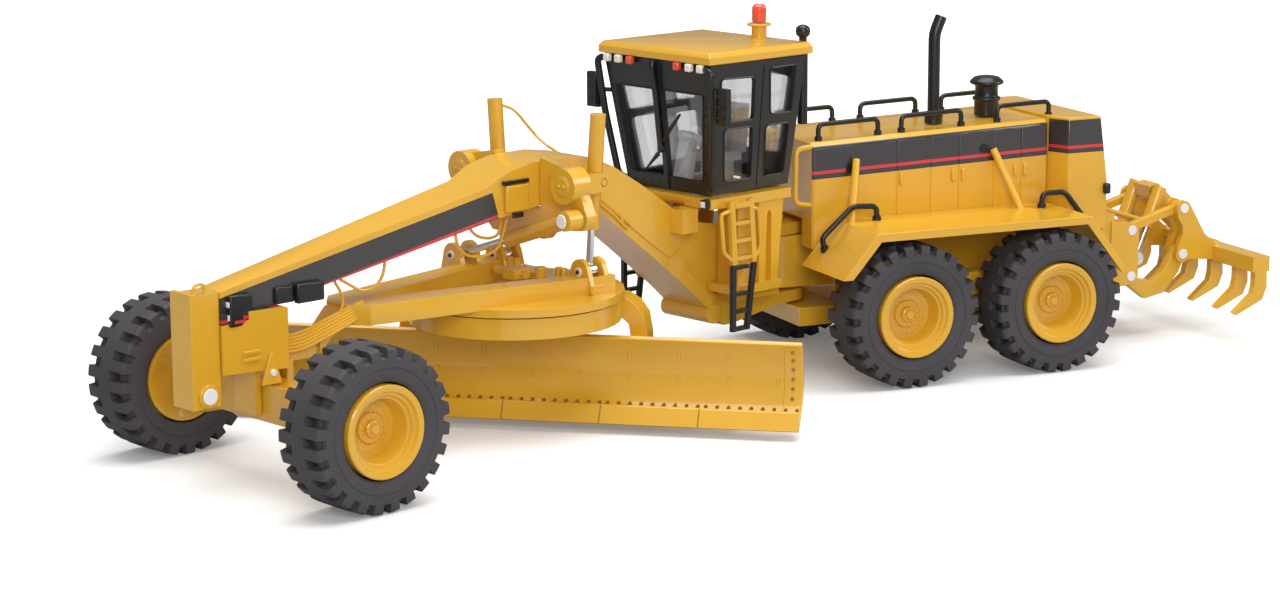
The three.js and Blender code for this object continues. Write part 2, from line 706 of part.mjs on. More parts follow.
function cabRoof() {
  const { rearX, frontX, half, slope } = roof;
  const top = roofTop;
  const under = cab.high + gap;
  const lowHalf = { rearX, frontX, half };
  const slab = join(
    tapered(lowHalf, lowHalf, under, top - 1.2),
    tapered(lowHalf, { rearX: rearX + slope, frontX: frontX - slope, half: half - slope }, top - 1.2, top),
  );
  const post = bar([beacon.x, beacon.y, top - 0.5], [beacon.x, beacon.y, beacon.flangeZ], beacon.base, 16);
  const rest = beacon.flangeZ;
  const flange = bar([beacon.x, beacon.y, rest - 0.1], [beacon.x, beacon.y, rest + 0.6], beacon.flange, 16);
  return join(slab, post, flange);
}

function beaconLens() {
  const base = beacon.flangeZ + 0.6 + gap;
  const { lens: radius, flangeZ, tall } = beacon;
  const top = flangeZ + tall;
  return spun([[0, base], [radius, base], [radius, top - 0.8], [radius - 0.7, top], [0, top]], 16)
    .rotateX(Math.PI / 2)
    .translate(beacon.x, beacon.y, 0);
}

function ventMast() {
  const { x, y, radius, cap, low, top } = mast;
  const post = bar([x, y, low], [x, y, top - 2], radius);
  const head = bar([x, y, top - 2.8], [x, y, top], cap, 16);
  const share = (z) => (z - cab.low) / (cab.high - cab.low);
  const wallX = (z) => cabFoot.rearX + (cabHead.rearX - cabFoot.rearX) * share(z) - gap;
  const arms = [low + 1.5, 82].map((z) => bar([x, y, z], [wallX(z) - 0.1, y, z], 0.7, 8));
  return join(post, head, ...arms);
}

// A mirror on its arm, from the cab's front corner.
function mirrorShape(hand) {
  const { x, y, low, high, wide, deep } = mirror;
  const head = block(x - deep / 2, x + deep / 2, y * hand - wide / 2, y * hand + wide / 2, low, high);
  const mid = (low + high) / 2;
  const share = (mid - cab.low) / (cab.high - cab.low);
  const wallY = cabFoot.half + (cabHead.half - cabFoot.half) * share + gap;
  const wallX = cabFoot.frontX + (cabHead.frontX - cabFoot.frontX) * share - 1.6;
  return join(head, bar([wallX, (wallY + 0.1) * hand, mid], [x, y * hand, mid], 0.6, 8));
}

function operatorSeat() {
  const floor = deck.high + gap;
  const base = block(19, 25, -3, 3, floor, floor + 6);
  const cushion = block(17.5, 27, -4.4, 4.4, floor + 5.8, floor + 8.4);
  const rest = [[15.6, floor + 7.6], [18.4, floor + 7.6], [16.2, floor + 20], [14.4, floor + 20]];
  const back = side(rest, -4.2, 4.2);
  return join(base, cushion, back);
}

function steeringConsole() {
  const floor = deck.high + gap;
  const column = side([[33.6, floor], [36.2, floor], [33.2, floor + 12], [31, floor + 12]], -2.6, 2.6);
  const wheelDisc = bar([31.4, 0, floor + 11.6], [30.6, 0, floor + 13.2], 3.6, 16);
  return join(column, wheelDisc);
}

// ---------------------------------------------------------------- front axle
// A deep dropped beam, forked at each end over a steering knuckle, on a fore-and-aft pin.
function frontAxle() {
  const { x, depth, kingpinY } = axle;
  const { y: forkY, low, high, wall } = axleFork;
  const end = kingpinY + 2.6;
  const bodyEnd = 12; // where the beam's middle part starts to spread into its forks
  const half = [
    [bodyEnd, high + 0.2],
    [forkY - 1.2, high + wall],
    [end, high + wall],
    [end, high],
    [forkY, high],
    [forkY, low],
    [end, low],
    [end, low - wall],
    [forkY - 1.2, low - wall],
    [bodyEnd, low + 0.5],
  ];
  const outline = [...half, ...half.map(([y, z]) => [-y, z]).reverse()];
  const body = front(outline, x - depth / 2, x + depth / 2);
  const bore = bar([x - depth, 0, wheelZ], [x + depth, 0, wheelZ], axlePinRadius + gap);
  return cut(body, bore);
}

function knuckle(hand) {
  const { x, kingpinY, arm: reach } = axle;
  const { low, high } = axleFork;
  const y = kingpinY * hand;
  const post = bar([x, y, low + gap], [x, y, high - gap], 2.6, 16);
  const spindleEnd = (frontWheelY - hubFaceDepth - gap) * hand;
  const spindle = bar([x, y, wheelZ], [x, spindleEnd, wheelZ], 2.4, 16);
  const armY = (kingpinY - 2.2) * hand;
  const lever = flat(
    [
      [x - 1, y - 1.3],
      [x - 1, y + 1.3],
      [x - reach - 1.2, armY + 1.2],
      [x - reach - 1.2, armY - 1.2],
    ],
    leverTop - 1.6,
    leverTop,
  );
  return join(post, spindle, lever);
}

function tieRod() {
  const x = axle.x - axle.arm;
  const y = axle.kingpinY - 2.2;
  const z = leverTop - 1.6 - gap - tieRadius;
  return bar([x, -y - 1, z], [x, y + 1, z], tieRadius, 10);
}

// ---------------------------------------------------------------- drawbar, circle and blade
function drawbar() {
  const knob = new THREE.SphereGeometry(ball.radius, 14, 10);
  knob.rotateX(Math.PI / 2).translate(ball.x, 0, ball.z);
  const throat = side(
    [
      [ball.x - 0.5, ball.z - 1.4],
      [ball.x - 0.5, ball.z + 1.6],
      [147, draw.high - 1],
      [141, draw.high],
      [141, draw.low],
      [148, draw.low - 1],
    ],
    -3,
    3,
  );
  const beams = hands.map(([, hand]) =>
    flat(
      [
        [146, 0],
        [146, 3.4 * hand],
        [142, draw.frontY * hand],
        [draw.rearX, draw.rearY * hand],
        [draw.rearX, (draw.rearY - draw.wide) * hand],
        [138, 0],
      ],
      draw.low,
      draw.high,
    ),
  );
  const table = cut(
    bar([ring.x, 0, draw.plate], [ring.x, 0, draw.low + 0.6], ring.outer + 0.7, 32),
    bar([ring.x, 0, 0], [ring.x, 0, 80], ring.inner - 4, 24),
  );
  const yoke = block(draw.rearX, ear.x + 3, -draw.rearY, draw.rearY, draw.low, draw.high - 2);
  const earPair = (place, base) => {
    const [px, py, pz] = place;
    const outline = [[py + ear.foot, base], ...arc(py, pz, ear.radius, 20, 160, 6), [py - ear.foot, base]];
    return [px - ear.slot / 2 - ear.plate, px + ear.slot / 2].map((x) => front(outline, x, x + ear.plate));
  };
  const ears = hands.flatMap(([, hand]) => earPair([ear.x, ear.y * hand, ear.z], draw.low + 1));
  const sideEar = earPair([shiftEar.x, shiftEar.y, shiftEar.z], draw.low + 1);
  const pins = [
    [ear.x, ear.y, ear.z],
    [ear.x, -ear.y, ear.z],
    [shiftEar.x, shiftEar.y, shiftEar.z],
  ].map(([x, y, z]) => bar([x - ear.slot, y, z], [x + ear.slot, y, z], ear.pin, 10));
  const eyeRoom = [
    [ear.x, ear.y, ear.z],
    [ear.x, -ear.y, ear.z],
    [shiftEar.x, shiftEar.y, shiftEar.z],
  ].map(([x, y, z]) => bar([x - ear.slot / 2, y, z], [x + ear.slot / 2, y, z], ear.radius, 16));
  return join(cut(join(knob, throat, ...beams, table, yoke, ...ears, ...sideEar), ...eyeRoom), ...pins);
}

// The toothed ring and the two arms that carry the moldboard, about the ring's centre.
function circleShape() {
  const { low, high, inner, outer } = ring;
  const band = spun([[inner, low], [outer, low], [outer, high], [inner, high], [inner, low]], 36);
  band.rotateX(Math.PI / 2);
  const { v, wide, frontU, rearU, low: foot } = bladeArm;
  const arms = hands.map(([, hand]) => {
    const outline = [
      [v - 10, high - 0.2],
      [v - 10, low + 0.2],
      [v - 3, low + 0.2],
      [v - 0.6, low - 2],
      [v, low - 6],
      [v, foot],
      [v + wide, foot],
      [v + wide, low - 5],
      [v + wide - 0.8, low],
      [v + wide - 3, high - 2],
      [v + wide - 6, high - 0.2],
    ].map(([a, z]) => [a * hand, z]);
    return front(outline, rearU, frontU);
  });
  return join(band, ...arms);
}

// The centre of the moldboard's arc, which lies ahead of it.
function bladeCentre() {
  const foot = new THREE.Vector2(blade.footU, blade.footZ);
  const head = new THREE.Vector2(blade.headU, blade.headZ);
  const middle = foot.clone().add(head).multiplyScalar(0.5);
  const chord = head.clone().sub(foot);
  const reach = Math.sqrt(blade.arc ** 2 - (chord.length() / 2) ** 2);
  const ahead = new THREE.Vector2(chord.y, -chord.x).normalize();
  return middle.addScaledVector(ahead, reach);
}

function bladeOutline() {
  const centre = bladeCentre();
  const angle = (u, z) => Math.atan2(z - centre.y, u - centre.x) / rad;
  const foot = angle(blade.footU, blade.footZ) + 360;
  const head = angle(blade.headU, blade.headZ);
  const steps = 9;
  const face = arc(centre.x, centre.y, blade.arc, foot, head, steps);
  const back = arc(centre.x, centre.y, blade.arc + blade.skin, head, foot, steps);
  return [...face, ...back];
}

function moldboard() {
  const middle = blade.shift;
  const sheet = side(bladeOutline(), middle - blade.half, middle + blade.half);
  const back = bladeCentre().x - blade.arc;
  const { low, high, tall, half } = slideRail;
  const rails = [low, high].map((z) =>
    block(bladeArm.frontU + gap, back + 1.4, middle - half, middle + half, z, z + tall),
  );
  const { x: centreU, y: centreZ } = bladeCentre();
  const hollow = bar([centreU, -90, centreZ], [centreU, 90, centreZ], blade.arc + 0.3, 48);
  return join(sheet, ...rails.map((rail) => cut(rail, hollow)));
}

// A flat plate along the moldboard's foot.
function cuttingEdge() {
  const middle = blade.shift;
  const { tall, thick } = edge;
  const rearU = blade.footU + gap + 0.4;
  const low = blade.footZ - 0.4;
  const lean = 0.62 * tall;
  const outline = [
    [rearU, low],
    [rearU + thick, low],
    [rearU + thick - lean, low + tall],
    [rearU - lean, low + tall],
  ];
  return side(outline, middle - blade.half, middle + blade.half);
}

// A lift cylinder: its rod's eye is on the drawbar's pin, and its barrel passes behind the drum.
const liftFoot = (hand) => [ear.x, ear.y * hand, ear.z];
const liftHead = (hand) => [lift.topX, lift.topY * hand, lift.topZ];
const liftLength = distance(liftFoot(1), liftHead(1));
const liftGland = ((lift.glandZ - ear.z) / (lift.topZ - ear.z)) * liftLength;

function tubeBarrel(from, to, gland, radius, bore) {
  const length = distance(from, to);
  const profile = [
    [0, length - 1.2],
    [bore, length - 1.2],
    [bore, gland],
    [radius, gland],
    [radius, length],
    [0, length],
  ];
  return aimed(spun(profile, 14), from, to);
}

// Where a lift barrel's two trunnion stubs turn in the saddle's yoke.
function liftTrunnion(hand) {
  const share = (drum.z - ear.z) / (lift.topZ - ear.z);
  return partWay(liftFoot(hand), liftHead(hand), share);
}

function liftBarrel(hand) {
  const tube = tubeBarrel(liftFoot(hand), liftHead(hand), liftGland, lift.barrel, lift.rod + 0.25);
  const [x, y, z] = liftTrunnion(hand);
  const reach = lift.barrel + gap + lift.yoke;
  const stubs = [-1, 1].map((way) =>
    bar([x, y + way * (lift.barrel - 0.45), z], [x, y + way * reach, z], lift.stub, 10),
  );
  return join(tube, ...stubs);
}

function eyeRod(from, to, length, radius, eye, axis) {
  const rod = bar(from, partWay(from, to, length / distance(from, to)), radius);
  const beside = (reach) => from.map((c, i) => c + axis[i] * reach);
  const boss = bar(beside(-1.3), beside(1.3), eye, 14);
  const hole = bar(beside(-3), beside(3), ear.pin + gap + 0.1, 12);
  return cut(join(rod, boss), hole);
}

function liftRod(hand) {
  return eyeRod(liftFoot(hand), liftHead(hand), liftGland + 13, lift.rod, 2, [1, 0, 0]);
}

const shiftFoot = [shiftEar.x, shiftEar.y, shiftEar.z];
const shiftHead = [shiftX, shift.y, shift.z];
const shiftLength = distance(shiftFoot, shiftHead);

function shiftBarrel() {
  const gland = shiftLength * (1 - shift.glandShare);
  const tube = tubeBarrel(shiftFoot, shiftHead, gland, shift.barrel, shift.rod + 0.25);
  const along = (half) => shiftHead.map((c, i) => (i === 0 ? c + half : c));
  const eye = bar(along(-shift.eyeHalf), along(shift.eyeHalf), shift.eye, 16);
  const hole = bar(along(-shift.eyeHalf - 1), along(shift.eyeHalf + 1), shift.pin + gap, 12);
  return cut(join(tube, eye), hole);
}

function shiftRod() {
  return eyeRod(shiftFoot, shiftHead, shiftLength * 0.6, shift.rod, 1.7, [1, 0, 0]);
}

// ---------------------------------------------------------------- ripper
const beamLowZ = arm.lowZ + arm.rise;
const beamHighZ = arm.highZ + arm.rise;
const ramLug = ram.y - ramTube.radius - gap; // half the width of the lugs between the two rams
const cheek = 1.6; // thickness of each plate beside an arm
// Where the two plates stand that hold an arm between them.
const cheekPlaces = (hand) =>
  [arm.y - arm.plate / 2 - gap - cheek, arm.y + arm.plate / 2 + gap].map((y) => across(y, y + cheek, hand));

const armPinAt = (x, z, hand) => bar([x, (arm.y - 3) * hand, z], [x, (arm.y + 3) * hand, z], armPin, 12);

function ripperBracket() {
  const wall = block(chassis.rearX - gap - 4, chassis.rearX - gap, -14, 14, arm.lowZ - 3, arm.highZ + 5);
  const outline = [
    [-53, arm.lowZ - 3],
    [-53, arm.highZ + 3],
    ...arc(arm.frameX, arm.highZ, 2.2, 90, 180, 3),
    ...arc(arm.frameX, arm.lowZ, 2.2, 180, 270, 3),
  ];
  const cheeks = hands.flatMap(([, hand]) =>
    cheekPlaces(hand).map(([y0, y1]) => side(outline, y0, y1)),
  );
  const pins = [arm.lowZ, arm.highZ].flatMap((z) => hands.map(([, hand]) => armPinAt(arm.frameX, z, hand)));
  const lug = side(
    [[-53, 24.5], [ram.footX + 1, ram.footZ + 2.2], ...arc(ram.footX, ram.footZ, 2.2, 90, 270, 5), [-53, 18]],
    -ramLug,
    ramLug,
  );
  const hole = bar([ram.footX, -9, ram.footZ], [ram.footX, 9, ram.footZ], armPin + gap, 12);
  return cut(join(wall, ...cheeks, ...pins, lug), hole);
}

function holed(body, places, from, to) {
  return cut(body, ...places.map(([x, z]) => bar([x, from, z], [x, to, z], armPin + gap * 0.6, 12)));
}

const armPlates = (shape) =>
  hands.map(([, hand]) => side(shape, ...across(arm.y - arm.plate / 2, arm.y + arm.plate / 2, hand)));

function lowerArms() {
  const shape = [
    ...arc(arm.frameX, arm.lowZ, 2.2, -60, 100, 5),
    [-63.4, 16.8],
    [-68, 15.8],
    [-71.6, 18.6],
    ...arc(arm.beamX, beamLowZ, 2.2, 60, 200, 5),
    [-76.4, 17.6],
    [-71.8, 12.2],
    [-65.6, 11],
  ];
  const plates = armPlates(shape);
  const tie = bar([-67.5, -arm.y, 13.6], [-67.5, arm.y, 13.6], 1.5, 12);
  const pins = [[arm.frameX, arm.lowZ], [arm.beamX, beamLowZ]];
  return holed(join(...plates, tie), pins, -20, 20);
}

function upperLinks() {
  const along = Math.atan2(arm.rise, arm.beamX - arm.frameX) / rad;
  const [eye, half] = [1.9, 1];
  const root = Math.asin(half / eye) / rad; // where the slim middle leaves the round eye
  const shape = [
    ...arc(arm.frameX, arm.highZ, eye, along - 360 + root, along - root, 8),
    ...arc(arm.beamX, beamHighZ, eye, along - 180 + root, along + 180 - root, 8),
  ];
  const plates = armPlates(shape);
  const tie = bar([-65.4, -arm.y, 32.6], [-65.4, arm.y, 32.6], 0.9, 10);
  const pins = [[arm.frameX, arm.highZ], [arm.beamX, beamHighZ]];
  return holed(join(...plates, tie), pins, -20, 20);
}

function ripperBeam() {
  const { beamX, beamHalf, low, high, deep, tipX, tipZ, shank } = ripper;
  const rail = block(beamX - deep / 2, beamX + deep / 2, -beamHalf, beamHalf, low, high);
  const boomerang = [
    ...arc(arm.beamX, beamLowZ, 2.3, 220, 350, 5),
    [-75.2, 26.4],
    [-76.4, 29],
    [-76, 31.2],
    [-74.6, 33.4],
    ...arc(arm.beamX, beamHighZ, 2.2, -20, 150, 6),
    [-83.4, 28.4],
    [beamX + 1, high - 0.2],
    [beamX + 1, low + 0.2],
  ];
  const cheeks = hands.flatMap(([, hand]) => cheekPlaces(hand).map(([y0, y1]) => side(boomerang, y0, y1)));
  const pins = [beamLowZ, beamHighZ].flatMap((z) => hands.map(([, hand]) => armPinAt(arm.beamX, z, hand)));
  const post = side(
    [
      [ram.headX + 1.6, ram.headZ + 1.4],
      [ram.headX - 1.5, ram.headZ + 2],
      [beamX + 1, high + 4],
      [beamX + 1, high - 1],
      [ram.headX - 4.5, 32],
      [ram.headX + 1.2, ram.headZ - 2],
    ],
    -ramLug,
    ramLug,
  );
  const bridge = block(beamX, beamX + 3.6, -arm.y - 2, arm.y + 2, high - 1, high + 1.2);
  const tooth = [
    [beamX - 1.8, low + 0.5],
    [beamX - 2, 16],
    [beamX - 0.6, 12.6],
    [tipX - 0.4, tipZ],
    [tipX + 0.3, tipZ + 0.6],
    [beamX + 2.6, 14.4],
    [beamX + 2, 17],
    [beamX + 2, low + 0.5],
  ];
  const teeth = shankPlaces.map((y) => side(tooth, y - shank / 2, y + shank / 2));
  const hole = bar([ram.headX, -9, ram.headZ], [ram.headX, 9, ram.headZ], armPin + gap, 12);
  return cut(join(rail, ...cheeks, ...pins, post, bridge, ...teeth), hole);
}

const ramFoot = (hand) => [ram.footX, ram.y * hand, ram.footZ];
const ramHead = (hand) => [ram.headX, ram.y * hand, ram.headZ];

// The rams hang from the beam's post with their barrels up, and their rods stand on the frame's lug.
function ripperBarrels() {
  const { radius, rod, length, eyeHalf } = ramTube;
  const profile = [
    [0, -1.6],
    [radius, -1.6],
    [radius, length],
    [rod + 0.25, length],
    [rod + 0.25, eyeHalf],
    [0, eyeHalf],
  ];
  const tubes = hands.map(([, hand]) => aimed(spun(profile, 14), ramHead(hand), ramFoot(hand)));
  const shaft = bar([ram.headX, -ram.y, ram.headZ], [ram.headX, ram.y, ram.headZ], armPin, 12);
  return join(...tubes, shaft);
}

function ripperRods() {
  const { rod, rodShare, eyeHalf } = ramTube;
  const { footX: x, footZ: z } = ram;
  const rods = hands.map(([, hand]) => {
    const shank = bar(ramFoot(hand), partWay(ramFoot(hand), ramHead(hand), rodShare), rod, 12);
    return join(shank, bar([x, (ram.y - eyeHalf) * hand, z], [x, (ram.y + eyeHalf) * hand, z], 1.9, 14));
  });
  return join(...rods, bar([x, -ram.y, z], [x, ram.y, z], armPin, 12));
}

// ---------------------------------------------------------------- assembly
const grader = new THREE.Group();
grader.name = "motor_grader";

function assembleRear() {
  add(grader, "rear_chassis", rearChassis(), yellow);
  add(grader, "engine_hood", engineHood(), yellow);
  add(grader, "radiator_housing", radiatorHousing(), yellow);
  add(grader, "exhaust_stack", exhaustStack(), black);
  add(grader, "air_precleaner", airPrecleaner(), black);
  add(grader, "ripper_bracket", ripperBracket(), yellow);
  hands.forEach(([name, hand]) => {
    add(grader, `${name}_fender`, fenderShape(hand), yellow);
    add(grader, `${name}_tandem_case`, tandemCase(hand), yellow);
    wheel(grader, `${name}_middle`, [spacing / 2, rearWheelY * hand, wheelZ], hand);
    wheel(grader, `${name}_rear`, [-spacing / 2, rearWheelY * hand, wheelZ], hand);
  });
}

function assembleRipper() {
  const groups = [
    ["ripper_arm_lift", [arm.frameX, 0, arm.lowZ], "ripper_lower_arms", lowerArms(), yellow],
    ["ripper_link_lift", [arm.frameX, 0, arm.highZ], "ripper_upper_links", upperLinks(), yellow],
    ["ripper_beam_level", [arm.beamX, 0, beamLowZ], "ripper_beam", ripperBeam(), yellow],
    ["ripper_ram_tilt", [ram.footX, 0, ram.footZ], "ripper_ram_rods", ripperRods(), chrome],
    ["ripper_ram_slide", [ram.headX, 0, ram.headZ], "ripper_ram_barrels", ripperBarrels(), yellow],
  ];
  groups.forEach(([joint, place, name, shape, material]) => {
    add(pivot(grader, joint, place), name, shape, material, place);
  });
}

function assembleFront(frame) {
  add(frame, "front_frame", frontFrame(), yellow);
  add(frame, "push_plate", pushPlate(), yellow);
  add(frame, "lift_saddle", liftSaddle(), yellow);
  add(frame, "cab_deck", cabDeck(), yellow);
  add(frame, "cab_shell", cabShell(), black);
  add(frame, "cab_glazing", cabGlazing(), glass);
  add(frame, "cab_roof", cabRoof(), yellow);
  add(frame, "beacon_lens", beaconLens(), lens);
  add(frame, "vent_mast", ventMast(), black);
  add(frame, "operator_seat", operatorSeat(), grey);
  add(frame, "steering_console", steeringConsole(), grey);
  add(frame, "front_axle", frontAxle(), yellow);
  hands.forEach(([name, hand]) => {
    add(frame, `${name}_mirror`, mirrorShape(hand), black);
    add(frame, `${name}_lower_ladder`, lowerLadder(hand), black);
    const trunnion = liftTrunnion(hand);
    const tilt = pivot(frame, `lift_tilt_${name}`, trunnion);
    add(tilt, `${name}_lift_barrel`, liftBarrel(hand), yellow, trunnion);
    const place = [axle.x, axle.kingpinY * hand, wheelZ];
    const steer = pivot(frame, `steer_${name}`, place);
    add(steer, `${name}_knuckle`, knuckle(hand), yellow, place);
    wheel(steer, `${name}_front`, [0, (frontWheelY - axle.kingpinY) * hand, 0], hand);
    const foot = liftFoot(hand);
    add(pivot(frame, `lift_slide_${name}`, foot), `${name}_lift_rod`, liftRod(hand), chrome, foot);
  });
  const rodPlace = [axle.x - axle.arm, 0, 16.2];
  add(pivot(frame, "tie_rod_shift", rodPlace), "tie_rod", tieRod(), yellow, rodPlace);
}

function assembleBlade(frame) {
  const hingePlace = [ball.x, 0, ball.z];
  const swing = pivot(frame, "drawbar_lift", hingePlace);
  add(swing, "drawbar", drawbar(), yellow, hingePlace);
  const turn = pivot(swing, "circle_turn", [ring.x - ball.x, 0, -ball.z], ring.turn);
  add(turn, "circle", circleShape(), yellow);
  const shiftGroup = pivot(turn, "blade_shift", [0, 0, 0]);
  add(shiftGroup, "moldboard", moldboard(), yellow);
  add(shiftGroup, "cutting_edge", cuttingEdge(), yellow);
  add(pivot(frame, "shift_ram_tilt", shiftHead), "centre_shift_barrel", shiftBarrel(), yellow, shiftHead);
  add(pivot(frame, "shift_ram_slide", shiftFoot), "centre_shift_rod", shiftRod(), chrome, shiftFoot);
}

assembleRear();
assembleRipper();
const frontGroup = pivot(grader, "articulation", [hitch.x, 0, 0], hitch.angle);
assembleFront(frontGroup);
assembleBlade(frontGroup);

// The part's own origin is the middle of its footprint, on the ground.
grader.updateMatrixWorld(true);
const bounds = new THREE.Box3().setFromObject(grader, true);
grader.position.set(-(bounds.min.x + bounds.max.x) / 2, -(bounds.min.y + bounds.max.y) / 2, -bounds.min.z);

export default grader;
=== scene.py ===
"""The looks of a 1:50 die-cast motor grader: enamel, rubber, plastic and the trim its frame leaves out."""
import json
import math

import bpy
import numpy as np
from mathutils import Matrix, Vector


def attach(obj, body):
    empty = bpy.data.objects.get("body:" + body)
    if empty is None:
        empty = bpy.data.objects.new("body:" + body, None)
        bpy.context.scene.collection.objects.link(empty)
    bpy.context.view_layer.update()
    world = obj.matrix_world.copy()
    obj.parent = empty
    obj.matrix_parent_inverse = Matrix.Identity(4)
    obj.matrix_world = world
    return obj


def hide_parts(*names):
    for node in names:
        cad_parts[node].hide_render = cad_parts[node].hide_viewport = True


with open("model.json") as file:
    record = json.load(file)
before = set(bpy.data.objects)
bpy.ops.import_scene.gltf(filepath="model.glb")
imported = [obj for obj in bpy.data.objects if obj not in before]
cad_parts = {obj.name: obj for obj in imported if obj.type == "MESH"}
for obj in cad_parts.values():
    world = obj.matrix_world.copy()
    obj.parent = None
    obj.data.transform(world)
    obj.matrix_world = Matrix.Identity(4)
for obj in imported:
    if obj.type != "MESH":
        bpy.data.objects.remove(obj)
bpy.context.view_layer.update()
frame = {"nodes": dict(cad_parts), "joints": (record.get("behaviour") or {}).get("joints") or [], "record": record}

MM = 0.001
CREASE = 38  # degrees: an edge that turns by more is sharp, and a bevel rounds it
SIDES = {"left": 1, "right": -1}
joints = {joint["name"]: joint for joint in frame["joints"]}


# ---------------------------------------------------------------- places on the model
class Place:
    """An origin in millimetres and a turn about the vertical; its points are given in its own x, y and z."""

    def __init__(self, origin, angle):
        self.origin = np.array(origin, float)
        c, s = math.cos(angle), math.sin(angle)
        self.turn = np.array([[c, -s, 0], [s, c, 0], [0, 0, 1]])

    def out(self, points):
        return (np.asarray(points, float) @ self.turn.T + self.origin) * MM


def joint_point(name):
    return np.array(joints[name]["pos_m"]) / MM


def heading(name):
    """The angle from +Y to a joint's level axis."""
    x, y, _ = joints[name]["axis"]
    return math.atan2(-x, y)


HINGE_X = 42.0  # the articulation hinge, ahead of the middle of the tandem
hinge = joint_point("articulation") * (1, 1, 0)
lead = heading("drawbar_lift")
REAR = Place(hinge - (HINGE_X, 0, 0), 0)
FRONT = Place(hinge, lead)
CIRCLE = Place(joint_point("circle_rotation") * (1, 1, 0), heading("blade_side_shift"))
WHEELS = {}
for end in ("front", "middle", "rear"):
    for side, hand in SIDES.items():
        name = f"{side}_{end}"
        angle = (lead if end == "front" else 0) + (0 if hand > 0 else math.pi)
        WHEELS[name] = Place(joint_point(f"{name}_wheel_spin"), angle)


# ---------------------------------------------------------------- surfaces as arrays
class Shape:
    """Points in millimetres and the faces between them; + puts two shapes in one mesh."""

    def __init__(self, points, faces):
        self.points = np.asarray(points, float).reshape(-1, 3)
        self.faces = faces

    def __add__(self, other):
        if other == 0:
            return self
        step = len(self.points)
        more = [[corner + step for corner in face] for face in other.faces]
        return Shape(np.vstack([self.points, other.points]), self.faces + more)

    __radd__ = __add__

    def mirrored(self):
        """The same shape on the other side of y = 0, still facing outwards."""
        return Shape(self.points * (1, -1, 1), [face[::-1] for face in self.faces])

    def hand(self, hand):
        return self if hand > 0 else self.mirrored()


def woven(grid, rows_close=False, columns_close=False):
    """Quads between the neighbours of a grid of points, rows by columns. Where a way closes, its last line
    joins its first."""
    rows, columns = grid.shape[:2]
    index = np.arange(rows * columns).reshape(rows, columns)
    if rows_close:
        index = np.vstack([index, index[:1]])
    if columns_close:
        index = np.hstack([index, index[:, :1]])
    quads = np.stack([index[:-1, :-1], index[:-1, 1:], index[1:, 1:], index[1:, :-1]], -1).reshape(-1, 4)
    return Shape(grid, quads.tolist())


def lofted(rings):
    """A skin through closed rings of points, flat at both ends. Seen from the far end, the rings run against
    the clock."""
    rings = np.asarray(rings, float)
    skin = woven(rings, columns_close=True)
    count = rings.shape[1]
    last = (len(rings) - 1) * count
    skin.faces += [list(range(count - 1, -1, -1)), list(range(last, last + count))]
    return skin


def spun(profile, sides=48):
    """A profile of (radius, place along y) carried round the y axis: at each angle a point is radius times
    the cosine in x and radius times the sine in z. Both ends of the profile lie on the axis."""
    radius, along = np.asarray(profile, float).T
    angle = np.arange(sides) * 2 * np.pi / sides
    grid = np.stack(
        [np.outer(np.cos(angle), radius), np.tile(along, (sides, 1)), np.outer(np.sin(angle), radius)], -1
    )
    return woven(grid, rows_close=True)


def tube(path, radius, sides=10, up=(0, 0, 1)):
    """A circle carried along a path, square to it. The radius may change along the path, and up is any way
    that the path never takes."""
    path = np.asarray(path, float)
    along = np.gradient(path, axis=0)
    along /= np.linalg.norm(along, axis=1, keepdims=True)
    across = np.cross(along, np.asarray(up, float))
    across /= np.linalg.norm(across, axis=1, keepdims=True)
    over = np.cross(across, along)
    angle = np.arange(sides) * 2 * np.pi / sides
    ring = across[:, None] * np.cos(angle)[:, None] - over[:, None] * np.sin(angle)[:, None]
    radius = np.broadcast_to(np.asarray(radius, float), (len(path),))
    return lofted(path[:, None] + ring * radius[:, None, None])


def bent(corners, bend, steps=5):
    """Points of a path that takes each inner corner by a curve of about that radius: a share of the way
    along the curve, the point is the corner's neighbours and the corner, weighted by the squares and the
    doubled product of that share and what is left of it."""
    corners = np.asarray(corners, float)
    share = np.linspace(0, 1, steps + 1)[:, None]
    points = [corners[:1]]
    for before, here, after in zip(corners[:-2], corners[1:-1], corners[2:]):
        back = here + (before - here) * min(0.49, bend / np.linalg.norm(before - here))
        onward = here + (after - here) * min(0.49, bend / np.linalg.norm(after - here))
        points.append((1 - share) ** 2 * back + 2 * share * (1 - share) * here + share**2 * onward)
    points.append(corners[-1:])
    return np.vstack(points)


def plate(outline, low, high, plane="xy"):
    """An outline given a thickness between two levels: in plan (xy), from the side (xz) or the front (yz)."""
    outline = np.asarray(outline, float)
    rings = []
    for level in (low, high):
        third = np.full(len(outline), level)
        u, v = outline.T
        columns = {"xy": (u, v, third), "xz": (u, third, v), "yz": (third, u, v)}[plane]
        rings.append(np.stack(columns, -1))
    area = np.sum(outline[:, 0] * np.roll(outline[:, 1], -1) - np.roll(outline[:, 0], -1) * outline[:, 1])
    if (area > 0) == (plane == "xz"):
        rings = [ring[::-1] for ring in rings]
    return lofted(rings)


def block(x0, x1, y0, y1, z0, z1):
    return plate([(x0, y0), (x1, y0), (x1, y1), (x0, y1)], z0, z1)


def pin(start, end, radius, sides=14):
    """A plain round bar between two points."""
    start, end = np.asarray(start, float), np.asarray(end, float)
    up = (0, 0, 1) if abs(end[2] - start[2]) < 0.9 * np.linalg.norm(end - start) else (1, 0, 0)
    return tube([start, end], radius, sides, up)


def repeated(shape, places):
    """One small shape at many places, which are offsets in millimetres."""
    places = np.asarray(places, float).reshape(-1, 3)
    count = len(shape.points)
    points = (shape.points[None] + places[:, None]).reshape(-1, 3)
    faces = [[corner + i * count for corner in face] for i in range(len(places)) for face in shape.faces]
    return Shape(points, faces)


